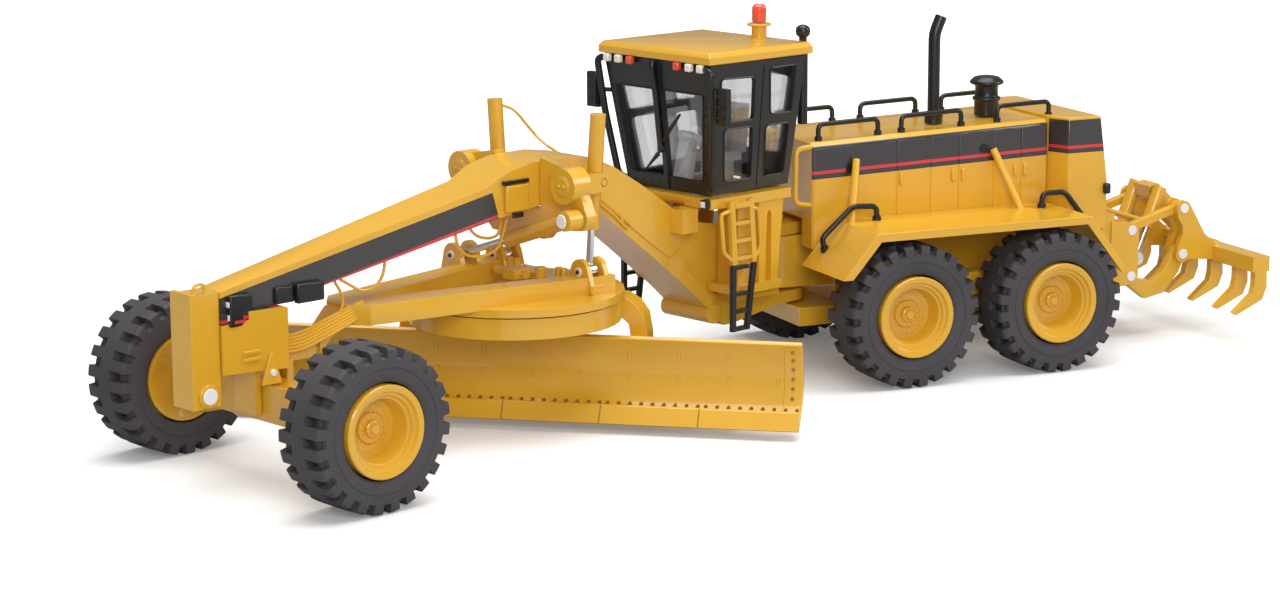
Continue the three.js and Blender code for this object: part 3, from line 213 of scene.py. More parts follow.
# ---------------------------------------------------------------- finishes
class Value:
    """A number that varies over a surface: a shader socket that takes part in plain arithmetic."""

    def __init__(self, finish, socket):
        self.finish, self.socket = finish, socket

    def sum(self, operation, *terms, clamp=False):
        settings = {"operation": operation, "use_clamp": clamp}
        return self.finish.node("ShaderNodeMath", settings, dict(enumerate(terms)))["Value"]

    def __add__(self, other):
        return self.sum("ADD", self, other)

    def __sub__(self, other):
        return self.sum("SUBTRACT", self, other)

    def __rsub__(self, other):
        return self.sum("SUBTRACT", other, self)

    def __mul__(self, other):
        return self.sum("MULTIPLY", self, other)

    def __gt__(self, other):
        return self.sum("GREATER_THAN", self, other)

    __radd__, __rmul__ = __add__, __mul__

    def size(self):
        return self.sum("ABSOLUTE", self)

    def between(self, low, high, soft=0.05):
        """1 between two levels and 0 outside them, with an edge that is soft over that many millimetres."""
        rise = self.sum("MULTIPLY_ADD", self - low, 1 / soft, 0.5, clamp=True)
        fall = self.sum("MULTIPLY_ADD", high - self, 1 / soft, 0.5, clamp=True)
        return rise * fall


class Finish:
    """A node material with one Principled surface."""

    def __init__(self, name):
        self.material = bpy.data.materials.new(name)
        self.material.use_nodes = True
        self.tree = self.material.node_tree
        self.surface = self.tree.nodes["Principled BSDF"]

    def node(self, kind, settings=None, values=None):
        """Adds a node, sets it, then feeds its sockets; gives its outputs by name."""
        node = self.tree.nodes.new(kind)
        for key, setting in (settings or {}).items():
            if key == "stops":
                ramp = node.color_ramp.elements
                while len(ramp) < len(setting):
                    ramp.new(1.0)
                for stop, (place, colour) in zip(ramp, setting):
                    stop.position, stop.color = place, (*colour, 1.0)
            else:
                setattr(node, key, setting)
        for key, value in (values or {}).items():
            self.feed(node.inputs[key], value)
        return {out.name: Value(self, out) for out in node.outputs if out.enabled}

    def feed(self, socket, value):
        if isinstance(value, Value):
            self.tree.links.new(value.socket, socket)
        elif isinstance(value, (tuple, list)) and socket.type == "RGBA":
            socket.default_value = (*value[:3], 1.0)
        else:
            socket.default_value = value

    def set(self, **values):
        """Feeds the surface: base_color is its Base Color socket, and so on."""
        for key, value in values.items():
            self.feed(self.surface.inputs[key.replace("_", " ").title().replace("Ior", "IOR")], value)

    def vector(self, operation, values):
        return self.node("ShaderNodeVectorMath", {"operation": operation}, values)

    def where(self, place=None):
        """x, y and z of the surface in millimetres, in a place's own frame."""
        spot = self.node("ShaderNodeTexCoord")["Object"]
        if place is None:
            place = Place((0, 0, 0), 0)
        spot = self.vector("SCALE", {0: spot, "Scale": 1 / MM})["Vector"]
        spot = self.vector("SUBTRACT", {0: spot, 1: tuple(place.origin)})["Vector"]
        return [self.vector("DOT_PRODUCT", {0: spot, 1: tuple(axis)})["Value"] for axis in place.turn.T]

    def noise(self, scale, detail=3.0, roughness=0.5, stretch=None):
        """Noise whose grain is 1/scale of a metre."""
        spot = self.node("ShaderNodeTexCoord")["Object"]
        if stretch is not None:
            spot = self.node("ShaderNodeMapping", {}, {"Vector": spot, "Scale": stretch})["Vector"]
        values = {"Vector": spot, "Scale": scale, "Detail": detail, "Roughness": roughness}
        return self.node("ShaderNodeTexNoise", {}, values)["Fac"]

    def mixed(self, share, first, second):
        node = self.tree.nodes.new("ShaderNodeMix")
        node.data_type = "RGBA"
        self.feed(node.inputs["Factor"], share)
        self.feed(node.inputs[6], first)
        self.feed(node.inputs[7], second)
        return Value(self, node.outputs[2])

    def bumped(self, height, strength, distance=0.0001):
        values = {"Height": height, "Strength": strength, "Distance": distance}
        self.set(normal=self.node("ShaderNodeBump", {}, values)["Normal"])


YELLOW = (0.76, 0.425, 0.030)
YELLOW_DEEP = (0.68, 0.355, 0.020)
INK = (0.035, 0.03, 0.031)
RED = (0.62, 0.03, 0.04)


def enamel(name, marks=None, place=None):
    """Sprayed enamel over a casting: it pools a shade deeper here and there, and its coat ripples very
    slightly. marks(x, y, z) gives how much of a point is printed ink and how much is the red line in it."""
    finish = Finish(name)
    pooled = finish.noise(45, 2.0)
    colour = finish.mixed(pooled, YELLOW_DEEP, YELLOW)
    rough = 0.30 + finish.noise(260, 3.0) * 0.08
    if marks is not None:
        ink, line = marks(*finish.where(place))
        colour = finish.mixed(ink, colour, INK)
        colour = finish.mixed(line, colour, RED)
        rough = rough - ink * 0.1
    ripple = finish.noise(420, 2.0) + finish.noise(2600, 1.0) * 0.12
    finish.bumped(ripple, 0.10)
    finish.set(base_color=colour, roughness=rough, specular_ior_level=0.45)
    finish.set(coat_weight=0.7, coat_roughness=0.09)
    return finish


def moulded(name, colour, roughness, grain=900.0, depth=0.12):
    """Injection-moulded plastic: a fine even grain, a little smoother where it has been handled."""
    finish = Finish(name)
    worn = finish.noise(70, 3.0)
    tint = finish.mixed(worn, [c * 0.85 for c in colour], [min(1.0, c * 1.15) for c in colour])
    finish.bumped(finish.noise(grain, 4.0, 0.6), depth)
    finish.set(base_color=tint, roughness=roughness + worn * 0.12)
    return finish


def rubber():
    """Tyre rubber: dull, a little purple-grey, with a dusting in patches and a fine moulded grain."""
    finish = Finish("tyre_rubber")
    dust = finish.noise(60, 5.0, 0.6)
    tint = finish.mixed(dust, (0.040, 0.036, 0.041), (0.078, 0.070, 0.077))
    grain = finish.noise(1500, 3.0, 0.6)
    finish.bumped(grain + dust * 0.5, 0.18)
    finish.set(base_color=tint, roughness=0.58 + grain * 0.14, specular_ior_level=0.42)
    return finish


def plated():
    """Polished plating: fine turning marks along the rod change its gloss a little."""
    finish = Finish("rod_chrome")
    fine = finish.noise(900, 2.0, stretch=(1, 1, 6))
    finish.bumped(fine, 0.03)
    finish.set(base_color=(0.83, 0.83, 0.85), metallic=1.0, roughness=0.09 + fine * 0.1)
    return finish


def clear():
    """Thin clear moulded plastic, with the faint waviness of a vacuum-formed window."""
    finish = Finish("clear_plastic")
    wave = finish.noise(120, 1.0)
    finish.bumped(wave, 0.05)
    finish.set(base_color=(0.93, 0.96, 0.98), roughness=0.03, transmission_weight=1.0, alpha=0.35)
    finish.surface.inputs["IOR"].default_value = 1.2
    return finish


def lens(name, colour, deep):
    """A translucent coloured lens: deeper where its ribs are thick."""
    finish = Finish(name)
    ribs = finish.noise(300, 2.0)
    finish.bumped(ribs, 0.06)
    finish.set(base_color=finish.mixed(ribs, deep, colour), roughness=0.16 + ribs * 0.05, coat_weight=0.8)
    finish.surface.inputs["Subsurface Weight"].default_value = 0.25
    finish.surface.inputs["Subsurface Radius"].default_value = (0.0015, 0.0005, 0.0003)
    finish.surface.inputs["Subsurface Scale"].default_value = 1.0
    return finish


def hood_marks(x, y, z):
    """A broad dark band under the hood's top edge, with a thin red line near its foot; both rise to the
    rear."""
    foot = z - (53.25 - 0.0275 * x)
    side_on = y.size().between(15.6, 30, 0.1)
    under_top = (61.1 - 0.03 * (x - 39.7)) - z
    band = foot.between(0, 12) * side_on * under_top.between(0, 30)
    line = foot.between(1.25, 2.1) * side_on
    return band, line


def radiator_marks(x, y, z):
    side_on = y.size().between(16.05, 30, 0.1) * (x + 45.6).between(0, 30, 0.1)
    return z.between(55.0, 63.9) * side_on, z.between(56.2, 57.05) * side_on


def beam_marks(x, y, z):
    """A dark band along each side of the beam, with a red line near its foot that steps down behind the
    nose."""
    ahead = x - 102.3
    foot = 53.2 - ahead * 0.2008 - (x > 153.5) * 1.5 + (x > 153.5) * (x - 153.5) * 0.09
    top = 60.1 - ahead * 0.197
    side_on = (y.size() + ahead * 0.0442).between(6.95, 9)
    along = (x - z * 0.28).between(87.4, 200)
    band = (z - foot).between(0, 20) * (top - z).between(0, 20) * side_on * along
    return band, (z - foot).between(0.4, 1.2) * band


PAINT = {
    "beam": enamel("body_yellow_beam", beam_marks, FRONT),
    "silver": moulded("pin_silver", (0.8, 0.8, 0.79), 0.3, depth=0.03),
    "red": moulded("red_line", RED, 0.3),
    "pale": moulded("lamp_glass", (0.82, 0.8, 0.74), 0.15, depth=0.03),
    "yellow": enamel("body_yellow"),
    "hood": enamel("body_yellow_hood", hood_marks, REAR),
    "radiator": enamel("body_yellow_radiator", radiator_marks, REAR),
    "black": moulded("trim_black", (0.011, 0.0115, 0.012), 0.24),
    "grey": moulded("cab_grey", (0.55, 0.54, 0.55), 0.5),
    "rubber": rubber(),
    # Dark brown painted shade for the blade's bolt heads and seams: it stands for the shadow in their hollows and
    # gaps.
    "shade": moulded("painted_shade_brown", (0.33, 0.165, 0.015), 0.42),
    "chrome": plated(),
    "clear": clear(),
    "orange": lens("lamp_orange", (0.9, 0.12, 0.03), (0.65, 0.04, 0.01)),
}
BODY_OF = {node: body for body, nodes in frame["record"]["behaviour"]["bodies"].items() for node in nodes}


def add(name, shape, place, paint, body, bevel=0.0, crease=CREASE, replaces=()):
    """Makes a piece of a shape that is drawn in a place's frame, painted, and riding on a body."""
    mesh = bpy.data.meshes.new(name)
    mesh.from_pydata(place.out(shape.points).tolist(), [], shape.faces)
    mesh.validate()
    mesh.polygons.foreach_set("use_smooth", np.ones(len(mesh.polygons), bool))
    mesh.set_sharp_from_angle(angle=math.radians(crease))
    mesh.materials.append(PAINT[paint].material)
    piece = bpy.data.objects.new(name, mesh)
    bpy.context.scene.collection.objects.link(piece)
    if bevel:
        round_edges(piece, bevel)
    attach(piece, body)
    if replaces:
        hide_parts(*replaces)
    return piece


def round_edges(piece, width, steps=2):
    bevel = piece.modifiers.new("rounded edges", "BEVEL")
    bevel.width = width * MM
    bevel.segments = steps
    bevel.limit_method = "ANGLE"
    bevel.angle_limit = math.radians(CREASE)
    bevel.harden_normals = False
    bevel.use_clamp_overlap = True
    return bevel


def cast(node, paint, width=0.25):
    """The frame's own part with the rounded edges of a casting: a merged and bevelled copy stands for it."""
    import bmesh

    work = bmesh.new()
    work.from_mesh(frame["nodes"][node].data)
    bmesh.ops.remove_doubles(work, verts=work.verts, dist=2e-6)
    bmesh.ops.dissolve_limit(work, angle_limit=math.radians(1.0), verts=work.verts, edges=work.edges)
    mesh = bpy.data.meshes.new(f"{node}_cast")
    work.to_mesh(mesh)
    work.free()
    mesh.polygons.foreach_set("use_smooth", np.ones(len(mesh.polygons), bool))
    mesh.set_sharp_from_angle(angle=math.radians(CREASE))
    mesh.materials.append(PAINT[paint].material)
    piece = bpy.data.objects.new(f"{node}_cast", mesh)
    bpy.context.scene.collection.objects.link(piece)
    round_edges(piece, width)
    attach(piece, BODY_OF[node])
    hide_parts(node)
    return piece


def keep(node, paint):
    """The frame's own part as it is, with its finish."""
    data = frame["nodes"][node].data
    data.materials.clear()
    data.materials.append(PAINT[paint].material)


# ---------------------------------------------------------------- wheels
TYRE = {"half": 7.45, "lugs": 24}


def tyre_shape():
    """Two profiles from bead to bead, one over the lugs and one along the floor of the grooves. Each point of
    the tread lies between them by a mask of the angle and the row, and the lugs of one side come half a pitch
    after the other's."""
    # from the bead to the tread's middle: radius and half width over the lugs, the same in the grooves, and 1
    # where the row has no grooves
    rows = [
        (10.95, 5.9, 10.95, 5.9, 1.0),
        (11.1, 6.6, 11.1, 6.6, 1.0),
        (11.7, 7.1, 11.7, 7.1, 1.0),
        (12.4, 7.28, 12.4, 7.28, 1.0),
        (14.0, 7.42, 14.0, 7.42, 1.0),
        (14.1, 7.30, 14.1, 7.30, 1.0),
        (14.3, 7.30, 14.3, 7.30, 1.0),
        (14.4, 7.45, 14.4, 7.45, 1.0),
        (16.2, 7.40, 16.2, 7.40, 1.0),
        (16.45, 7.42, 16.3, 7.05, 0.0),
        (18.15, 7.15, 16.45, 6.75, 0.0),
        (18.45, 6.85, 16.55, 6.5, 0.0),
        (18.62, 6.5, 16.6, 6.25, 0.0),
        (18.66, 6.2, 16.6, 6.05, 0.0),
        (18.66, 6.05, 17.3, 5.95, 0.0),
        (18.70, 4.55, 17.3, 4.5, 0.0),
        (18.70, 4.4, 16.6, 4.4, 0.0),
        (18.74, 2.25, 16.6, 2.3, 0.0),
        (18.74, 2.1, 18.5, 2.15, 1.0),
        (18.75, 1.9, 18.7, 1.9, 1.0),
    ]
    over_r, over_y, under_r, under_y, whole = np.array(rows).T
    over_r = np.concatenate([over_r, over_r[::-1]])
    under_r = np.concatenate([under_r, under_r[::-1]])
    over_y = np.concatenate([-over_y, over_y[::-1]])
    under_y = np.concatenate([-under_y, under_y[::-1]])
    whole = np.concatenate([whole, whole[::-1]])
    late = np.repeat([0.0, 0.5], len(rows))  # each side's place in the pitch
    turn = np.array([0.0, 0.20, 0.235, 0.265, 0.30, 0.5, 0.70, 0.735, 0.765, 0.80])
    turn = (np.arange(TYRE["lugs"])[:, None] + turn).ravel()
    place = (turn[:, None] + late) % 1.0
    lug = np.clip((np.abs(place - 0.5) - 0.2) / 0.035, 0, 1)  # 0 in the groove, 1 on the lug
    lug = np.maximum(lug, whole)
    angle = turn * 2 * np.pi / TYRE["lugs"]
    r = under_r + (over_r - under_r) * lug
    y = under_y + (over_y - under_y) * lug
    grid = np.stack([r * np.cos(angle)[:, None], y, r * np.sin(angle)[:, None]], -1)
    return woven(grid, rows_close=True, columns_close=True)


def rim_shape():
    """A turned profile: from the hub over the web, the deep dish and two steps to the outer bead ring, then
    the plain back."""
    half = TYRE["half"]
    outer = [
        (0, half - 3.5), (1.0, half - 3.5), (1.2, half - 3.7), (1.25, half - 4.1), (1.7, half - 4.15),
        (1.95, half - 4.4), (2.0, half - 5.3), (3.3, half - 5.35), (3.5, half - 5.55), (3.55, half - 6.1),
        (5.9, half - 6.3), (6.5, half - 6.15), (6.75, half - 5.8), (7.05, half - 2.3), (7.3, half - 1.75),
        (7.75, half - 1.6), (7.95, half - 1.25), (8.1, half - 0.85), (8.75, half - 0.75), (8.95, half - 0.35),
        (9.1, half + 0.05), (9.85, half + 0.25), (10.35, half + 0.3), (10.6, half + 0.05),
        (10.62, half - 1.6),
    ]
    back = [
        (10.62, -half + 1.2), (10.5, -half + 1.0), (9.5, -half + 1.0), (6.0, -half + 3.45), (0, -half + 3.45),
    ]
    return spun(outer + back, 72)


def rim_bolts():
    """Three rings of small domed nuts round the hub."""
    half = TYRE["half"]
    nut = spun([(0, 0.2), (0.14, 0.18), (0.22, 0.08), (0.24, -0.05), (0, -0.05)], 6)
    rings = [(2.75, half - 5.35, 12), (3.9, half - 6.15, 20), (5.3, half - 6.25, 26)]
    places = []
    for radius, depth, count in rings:
        angle = np.arange(count) * 2 * np.pi / count
        places.append(np.stack([radius * np.cos(angle), np.full(count, depth), radius * np.sin(angle)], -1))
    return repeated(nut, np.vstack(places))


for name, place in WHEELS.items():
    body = f"{name}_wheel"
    tyre, rim = tyre_shape(), rim_shape() + rim_bolts()
    add(f"{name}_tyre_treaded", tyre, place, "rubber", body, crease=35, replaces=[f"{name}_tyre"])
    add(f"{name}_rim_turned", rim, place, "yellow", body, crease=40, replaces=[f"{name}_rim"])

# ---------------------------------------------------------------- the frame's own parts
CAST = {
    "yellow": [
        "rear_chassis", "ripper_bracket", "left_fender", "right_fender", "left_tandem_case",
        "right_tandem_case", "push_plate", "lift_saddle", "cab_deck", "cab_roof", "front_axle",
        "left_knuckle", "right_knuckle", "drawbar", "circle", "moldboard", "cutting_edge", "left_lift_barrel",
        "right_lift_barrel", "centre_shift_barrel", "ripper_lower_arms", "ripper_upper_links", "ripper_beam",
        "ripper_ram_barrels", "tie_rod",
    ],
    "beam": ["front_frame"],
    "hood": ["engine_hood"],
    "radiator": ["radiator_housing"],
    "black": [
        "exhaust_stack", "air_precleaner", "cab_shell", "left_mirror", "right_mirror",
        "left_lower_ladder", "right_lower_ladder",
    ],
    "grey": ["operator_seat", "steering_console"],
    "chrome": ["left_lift_rod", "right_lift_rod", "centre_shift_rod", "ripper_ram_rods"],
    "orange": ["beacon_lens"],
}
for paint, nodes in CAST.items():
    for node in nodes:
        cast(node, paint)
keep("cab_glazing", "clear")


# ---------------------------------------------------------------- hood trim
HOOD = {"half": 16.0, "front": 39.7, "low": 33.8, "top": 61.7, "rise": 0.0297}


def hood_top(x):
    """The height of the hood's top, which rises to the rear."""
    return HOOD["top"] + (HOOD["front"] - x) * HOOD["rise"]


def door_panels():
    """Flat doors that stand a little proud of the hood's side, with a fine gap between neighbours."""
    ends = [(-30.6, -23.0), (-22.6, -14.5), (-12.7, -3.9), (-3.5, 4.6), (6.3, 14.7), (15.1, 39.3)]
    low, inset, under, proud = HOOD["low"] + 0.5, 1.6, 0.1, 0.2
    doors = []
    for rear, front in ends:
        tops = [(x, hood_top(x) - inset) for x in (front, rear)]
        outline = [(rear, low), (front, low), *tops]
        doors.append(plate(outline, HOOD["half"] - under, HOOD["half"] + proud, "xz"))
    return sum(doors)


def door_handles():
    handle = block(-0.55, 0.55, 16.1, 16.8, -1.65, 1.65)
    return repeated(handle, [(x, 0, 50.6) for x in (13.6, -2, -5, -21, -24)])


def railing(corners, radius=0.65, bend=1.6, collars=(0, -1)):
    """A bent round rail with a collar round each foot, which starts a little below the foot."""
    sunk, tall, wide = 0.2, 1.1, 1.55
    rail = tube(bent(corners, bend), radius, 12, up=(0.03, 1, 0.02))
    for foot in collars:
        start = np.array(corners[foot], float)
        on = np.array(corners[1 if foot == 0 else -2], float) - start
        length = np.linalg.norm(on)
        rail = rail + pin(start - sunk * on / length, start + tall * on / length, radius * wide)
    return rail


def top_rail(rear, front, y):
    """A low rail along the top of the hood between two places."""
    tall, low, high = 4.2, hood_top(rear), hood_top(front)
    return railing([(rear, y, low), (rear, y, low + tall), (front, y, high + tall), (front, y, high)])


def fender_rails():
    """A rail over each end of a fender, given from the side: (x, z) and the level y it stands at."""
    front = [(23.6, 41.3), (23.8, 45.0), (30.8, 45.4), (39.7, 37.6), (38.6, 34.4)]
    rear = [(-25.2, 41.3), (-25.5, 45.0), (-32.4, 45.0), (-38.6, 37.4), (-38.2, 31.0)]
    return sum(railing([(x, y, z) for x, z in path], 0.75, 1.5) for path, y in ((front, 21.6), (rear, 23.2)))


for side, hand in SIDES.items():
    add(f"{side}_door_panels", door_panels().hand(hand), REAR, "hood", "rear_frame", bevel=0.12)
    add(f"{side}_door_handles", door_handles().hand(hand), REAR, "yellow", "rear_frame", bevel=0.3)
    add(f"{side}_fender_rails", fender_rails().hand(hand), REAR, "black", "rear_frame")
    grab = [(39.6, 15.0, 60.6), (44.2, 15.4, 60.3), (44.4, 15.5, 46.0), (39.6, 15.2, 45.4)]
    add(f"{side}_grab_rail", railing(grab, 0.75, 2.0, ()).hand(hand), REAR, "yellow", "rear_frame")
    lamp = block(-46.9, -45.0, 21.7, 23.4, 43.4, 46.3)
    add(f"{side}_rear_lamp", lamp.hand(hand), REAR, "black", "rear_frame", bevel=0.5)
    mounts = sum(pin((x, 16.1, z), (x, 16.4, z), 1.3) for x, z in ((28.7, 54.6), (-11.3, 57.1)))
    add(f"{side}_stay_mounts", mounts.hand(hand), REAR, "black", "rear_frame")
left_rails = top_rail(19, 36.5, 13) + top_rail(-6, 12, 13) + top_rail(-33, -17, 13)
right_rails = top_rail(19.5, 37, -12) + top_rail(-6, 11, -12) + top_rail(-31, -14, -12)
add("hood_rails", left_rails + right_rails, REAR, "black", "rear_frame")
add("stack_collar", pin((-1.5, 6, 64.6), (-1.5, 6, 66.0), 2.5, 24), REAR, "black", "rear_frame", bevel=0.3)


def rear_grille():
    """Level slats over a dark panel, on the upright foot and the leaning top of the radiator's back."""
    foot, bend, lean, half = -46.5, 46.6, 2.5 / 18, 17.4
    first, pitch, thick = 37.5, 1.8, 0.9
    slats = []
    for z in first + pitch * np.arange(14):
        x = foot + max(0.0, z - bend) * lean
        slats.append(block(x - 0.15, x + 0.4, -half, half, z, z + thick))
    return sum(slats)


back = [(-46.6, 36.6), (-46.0, 36.6), (-46.0, 46.6), (-43.9, 62.6), (-44.5, 62.6), (-46.6, 46.8)]
add("rear_grille_panel", plate(back, -18, 18, "xz"), REAR, "black", "rear_frame", bevel=0.15)
add("rear_grille_slats", rear_grille(), REAR, "black", "rear_frame", bevel=0.15)


# ---------------------------------------------------------------- cab trim
def cab_guard():
    """A round bar that stands off the cab's front corner from the visor down to the deck."""
    path = [
        (43.4, 16.4, 84.9), (44.7, 20.8, 84.5), (42.9, 19.9, 71.0), (40.7, 17.2, 54.2), (39.4, 15.0, 53.2),
    ]
    return tube(bent(path, 1.8), 0.9, 12, up=(0.2, 1, 0.05))


def visor_lamps(places):
    return repeated(block(-0.8, 0.8, -1.0, 1.0, -1.0, 1.0), [(44.6, y, 84.8) for y in places])


def wipers():
    """A post down the middle of the windscreen, and from its boss one arm up to the left and one down to the
    right, each with a blade thicker than the arm."""
    down = [(43.6, -0.6, 85.4), (44.7, -0.6, 84.2), (43.6, -0.5, 78), (41.8, -0.3, 62.4)]
    post = tube(bent(down, 1.2), 0.75, 12, up=(0, 1, 0.02))
    upper = [(41.8, -0.2, 64.0), (42.3, 2.4, 66.6), (42.4, 2.6, 66.8), (43.0, 8.0, 72.4)]
    lower = [(41.6, -0.2, 62.8), (41.4, -1.6, 61.4), (41.3, -1.8, 61.2), (40.9, -6.6, 56.8)]
    boss = pin((41.0, -0.3, 62.6), (42.2, -0.3, 62.6), 0.9)
    return post + tube(upper, [0.25, 0.3, 0.62, 0.35], 8) + tube(lower, [0.25, 0.3, 0.62, 0.2], 8) + boss


CAB = {"foot": 52.1, "tall": 33.5, "front": 39.4, "front_lean": 4.1, "side": 14.7, "side_lean": 4.8}


def cab_front(z):
    """How far ahead the cab's front is at a height: it leans forward all the way up."""
    return CAB["front"] + CAB["front_lean"] * (z - CAB["foot"]) / CAB["tall"]


def cab_side(z):
    """How far out the cab's side is at a height: it leans outwards all the way up."""
    return CAB["side"] + CAB["side_lean"] * (z - CAB["foot"]) / CAB["tall"]


def gasket(corners, up):
    """A round bead that runs once round a window, from the middle of its first side back to there."""
    corners = np.asarray(corners, float)
    start = (corners[0] + corners[1]) / 2
    return tube(bent([start, *corners[1:], corners[0], start], 1.3), 0.26, 8, up=up)


def side_gaskets():
    """A bead round each of the four windows of a side, and one down the door's rear edge."""
    windows = [
        [(24.9, 55.1), (34.6, 55.1), (36.5, 68.8), (26.2, 68.8)],
        [(26.1, 70.5), (37.4, 70.5), (39.4, 82.0), (27.2, 81.6)],
        [(13.2, 55.0), (20.4, 55.0), (21.6, 68.4), (12.9, 68.4)],
        [(12.6, 71.2), (20.4, 71.2), (22.2, 83.4), (12.6, 83.4)],
    ]
    out = (0, 1, 0.01)
    beads = [gasket([(x, cab_side(z), z) for x, z in window], out) for window in windows]
    door = [(x, cab_side(z), z) for x, z in ((22.6, 53.0), (24.4, 84.0))]
    return sum(beads) + tube(door, 0.22, 8, up=out)


def screen_gasket():
    corners = [(-13.2, 55.6), (13.2, 55.6), (16.0, 78.0), (-16.0, 78.0)]
    return gasket([(cab_front(z), y, z) for y, z in corners], (1, 0, 0.01))


def screen_rivets():
    """Small heads down both sides of the windscreen's frame and along its foot."""
    head = pin((0, 0, 0), (0.25, 0, 0), 0.22, 6)
    share = np.linspace(0.06, 0.94, 9)
    places = []
    for hand in SIDES.values():
        places += [(cab_front(z), hand * (14.0 + 3.0 * s), z) for s, z in zip(share, 56 + 23 * share)]
    places += [(39.55, y, 53.6) for y in np.linspace(-12, 12, 9)]
    return repeated(head, places)


def mirror_ribs():
    """Three level ribs and an upright one on the back of a mirror."""
    level = sum(block(44.0, 44.5, 22.0, 25.0, z, z + 0.7) for z in (72.9, 75.6, 78.3))
    return level + block(44.0, 44.6, 21.7, 22.3, 72, 80)


add("windscreen_gasket", screen_gasket(), FRONT, "black", "front_frame")
for side, hand in SIDES.items():
    add(f"{side}_window_gaskets", side_gaskets().hand(hand), FRONT, "black", "front_frame")
    add(f"{side}_cab_guard", cab_guard().hand(hand), FRONT, "black", "front_frame")
    shell = block(40.9, 43.2, 15.3, 17.6, 49.4, 51.7)
    add(f"{side}_deck_lamp", shell.hand(hand), FRONT, "black", "front_frame", bevel=0.3)
    glass = block(43.1, 43.4, 15.7, 17.2, 49.8, 51.3)
    add(f"{side}_deck_lamp_glass", glass.hand(hand), FRONT, "pale", "front_frame", bevel=0.1)
    add(f"{side}_mirror_ribs", mirror_ribs().hand(hand), FRONT, "black", "front_frame", bevel=0.15)
add("visor_lamps_clear", visor_lamps([12.9, 17.0, -12.9, -17.0]), FRONT, "pale", "front_frame", bevel=0.35)
add("visor_lamps_orange", visor_lamps([8.6, -8.6]), FRONT, "orange", "front_frame", bevel=0.35)
add("wipers", wipers(), FRONT, "black", "front_frame")
add("screen_rivets", screen_rivets(), FRONT, "black", "front_frame")


def vent_mast():
    """A slim pipe under a rounded cap, with a narrow neck between them."""
    profile = [
        (67.0, 1.3), (88.0, 1.3), (88.3, 1.0), (89.2, 1.0), (89.5, 1.25), (89.9, 1.7),
        (90.6, 1.9), (91.3, 1.9), (92.0, 1.6), (92.4, 1.0), (92.6, 0.3),
    ]
    heights, radii = zip(*profile)
    return tube([(5.5, 14.5, z) for z in heights], radii, 24, up=(0, 1, 0))


add("vent_mast_turned", vent_mast(), FRONT, "black", "front_frame", replaces=["vent_mast"])

# ---------------------------------------------------------------- beam, neck and nose
NECK_FACE = 8.3  # how far out the neck's raised plate comes


def nose_lamp_box():
    return block(173.2, 179.4, 3.6, 5.5, 37.8, 45.0)


def beam_pockets():
    """A raised handle with a shallow shelf ahead of it."""
    return block(154.0, 161.6, 4.9, 6.7, 40.9, 45.4) + block(161.6, 166.8, 4.4, 5.5, 41.3, 45.2)


def neck_panel():
    """A raised plate that follows the neck from the drum down to the hinge."""
    outline = [
        (49, 47.4), (57.6, 53.6), (66.6, 59.2), (73.4, 62.2), (78.6, 62.9), (78.6, 57.2),
        (72, 54.6), (62, 47.4), (53, 40.6), (47, 36.6), (43.6, 38.4), (43.0, 43.2),
    ]
    return plate(outline, NECK_FACE - 0.5, NECK_FACE + 0.05, "xz")


def neck_ribs():
    """Round ridges on the neck's plate, given from the side; one with only two points is straight."""
    ridges = [
        [(80, 61.5), (76.5, 60.8), (74.6, 58.6), (75.4, 56.4)],
        [(79, 59.2), (73, 56.2), (66, 51.2), (60.5, 46.6)],
        [(78, 57.6), (73, 54.9), (66, 49.8), (61.5, 45.8)],
        [(64.2, 50.8), (62.6, 46.4)],
    ]
    parts = []
    for ridge in ridges:
        path = [(x, NECK_FACE, z) for x, z in ridge]
        parts.append(tube(bent(path, 1.5) if len(path) > 2 else path, 0.42, 8, up=(0, 1, 0.01)))
    return sum(parts)


def drum_boss():
    """A round cover with two bolt heads on the face of the drum."""
    x, y, z = 92.4, 19.0, 61.2
    apart = 0.85
    cover = pin((x - 0.1, y, z), (x + 0.18, y, z), 2.55, 32) + pin((x, y, z), (x + 0.34, y, z), 2.15, 32)
    return cover + sum(pin((x, y + d, z), (x + 0.7, y + d, z), 0.45, 10) for d in (-apart, apart))


def hoses():
    """Thin moulded lines that loop from the beam to the saddle and from the beam to the drawbar's ball."""
    lines = [
        [
            (114, 5, 51.0), (113.2, 5, 47.4), (110.5, 5, 44.9),
            (105, 5, 44.1), (100.4, 5, 45.4), (97.4, 5, 53.6),
        ],
        [(109, 4, 51.6), (106.6, 4, 49.0), (102.4, 4, 47.9), (99.4, 4, 48.6), (98.4, 4, 53.6)],
        [(134.8, 4.6, 48.4), (135.2, 4.6, 44.0), (137.6, 4.6, 41.2), (142, 4.6, 40.8), (147.9, 4.6, 44.4)],
        [(149.4, 4.4, 44.0), (147.2, 4.4, 40.6), (147.4, 4.4, 37.2), (150.4, 4.2, 34.8), (155.4, 3.4, 33.0)],
    ]
    return sum(tube(bent(line, 2.2, 6), 0.36, 8, up=(0, 1, 0.02)) for line in lines)


def hose_bundle():
    """Six lines, each above the last and a little further in, that rise to the rear from the nose."""
    count, inward, pitch, closing = 6, 0.22, 0.72, 0.75
    lines = []
    for i in range(count):
        y, z = 5.0 - inward * i, pitch * i
        path = [
            (164.9, y - 1.6, 29.6 + z), (159.6, y, 29.7 + z),
            (150, y + 0.2, 32.6 + z), (141.5, y + 0.4, 35.6 + closing * z),
        ]
        lines.append(tube(bent(path, 4, 6), 0.4, 8, up=(0, 1, 0.02)))
    return sum(lines)


def nose_bracket():
    """A leaning web on the nose's side, with two short ribs ahead of it."""
    ribs = sum(block(173.6, 178.0, 7.9, 8.4, z, z + 0.75) for z in (30.2, 31.9))
    return ribs + plate([(168.0, 24.1), (170.0, 31.2), (170.9, 31.2), (173.4, 24.1)], 7.7, 8.6, "xz")


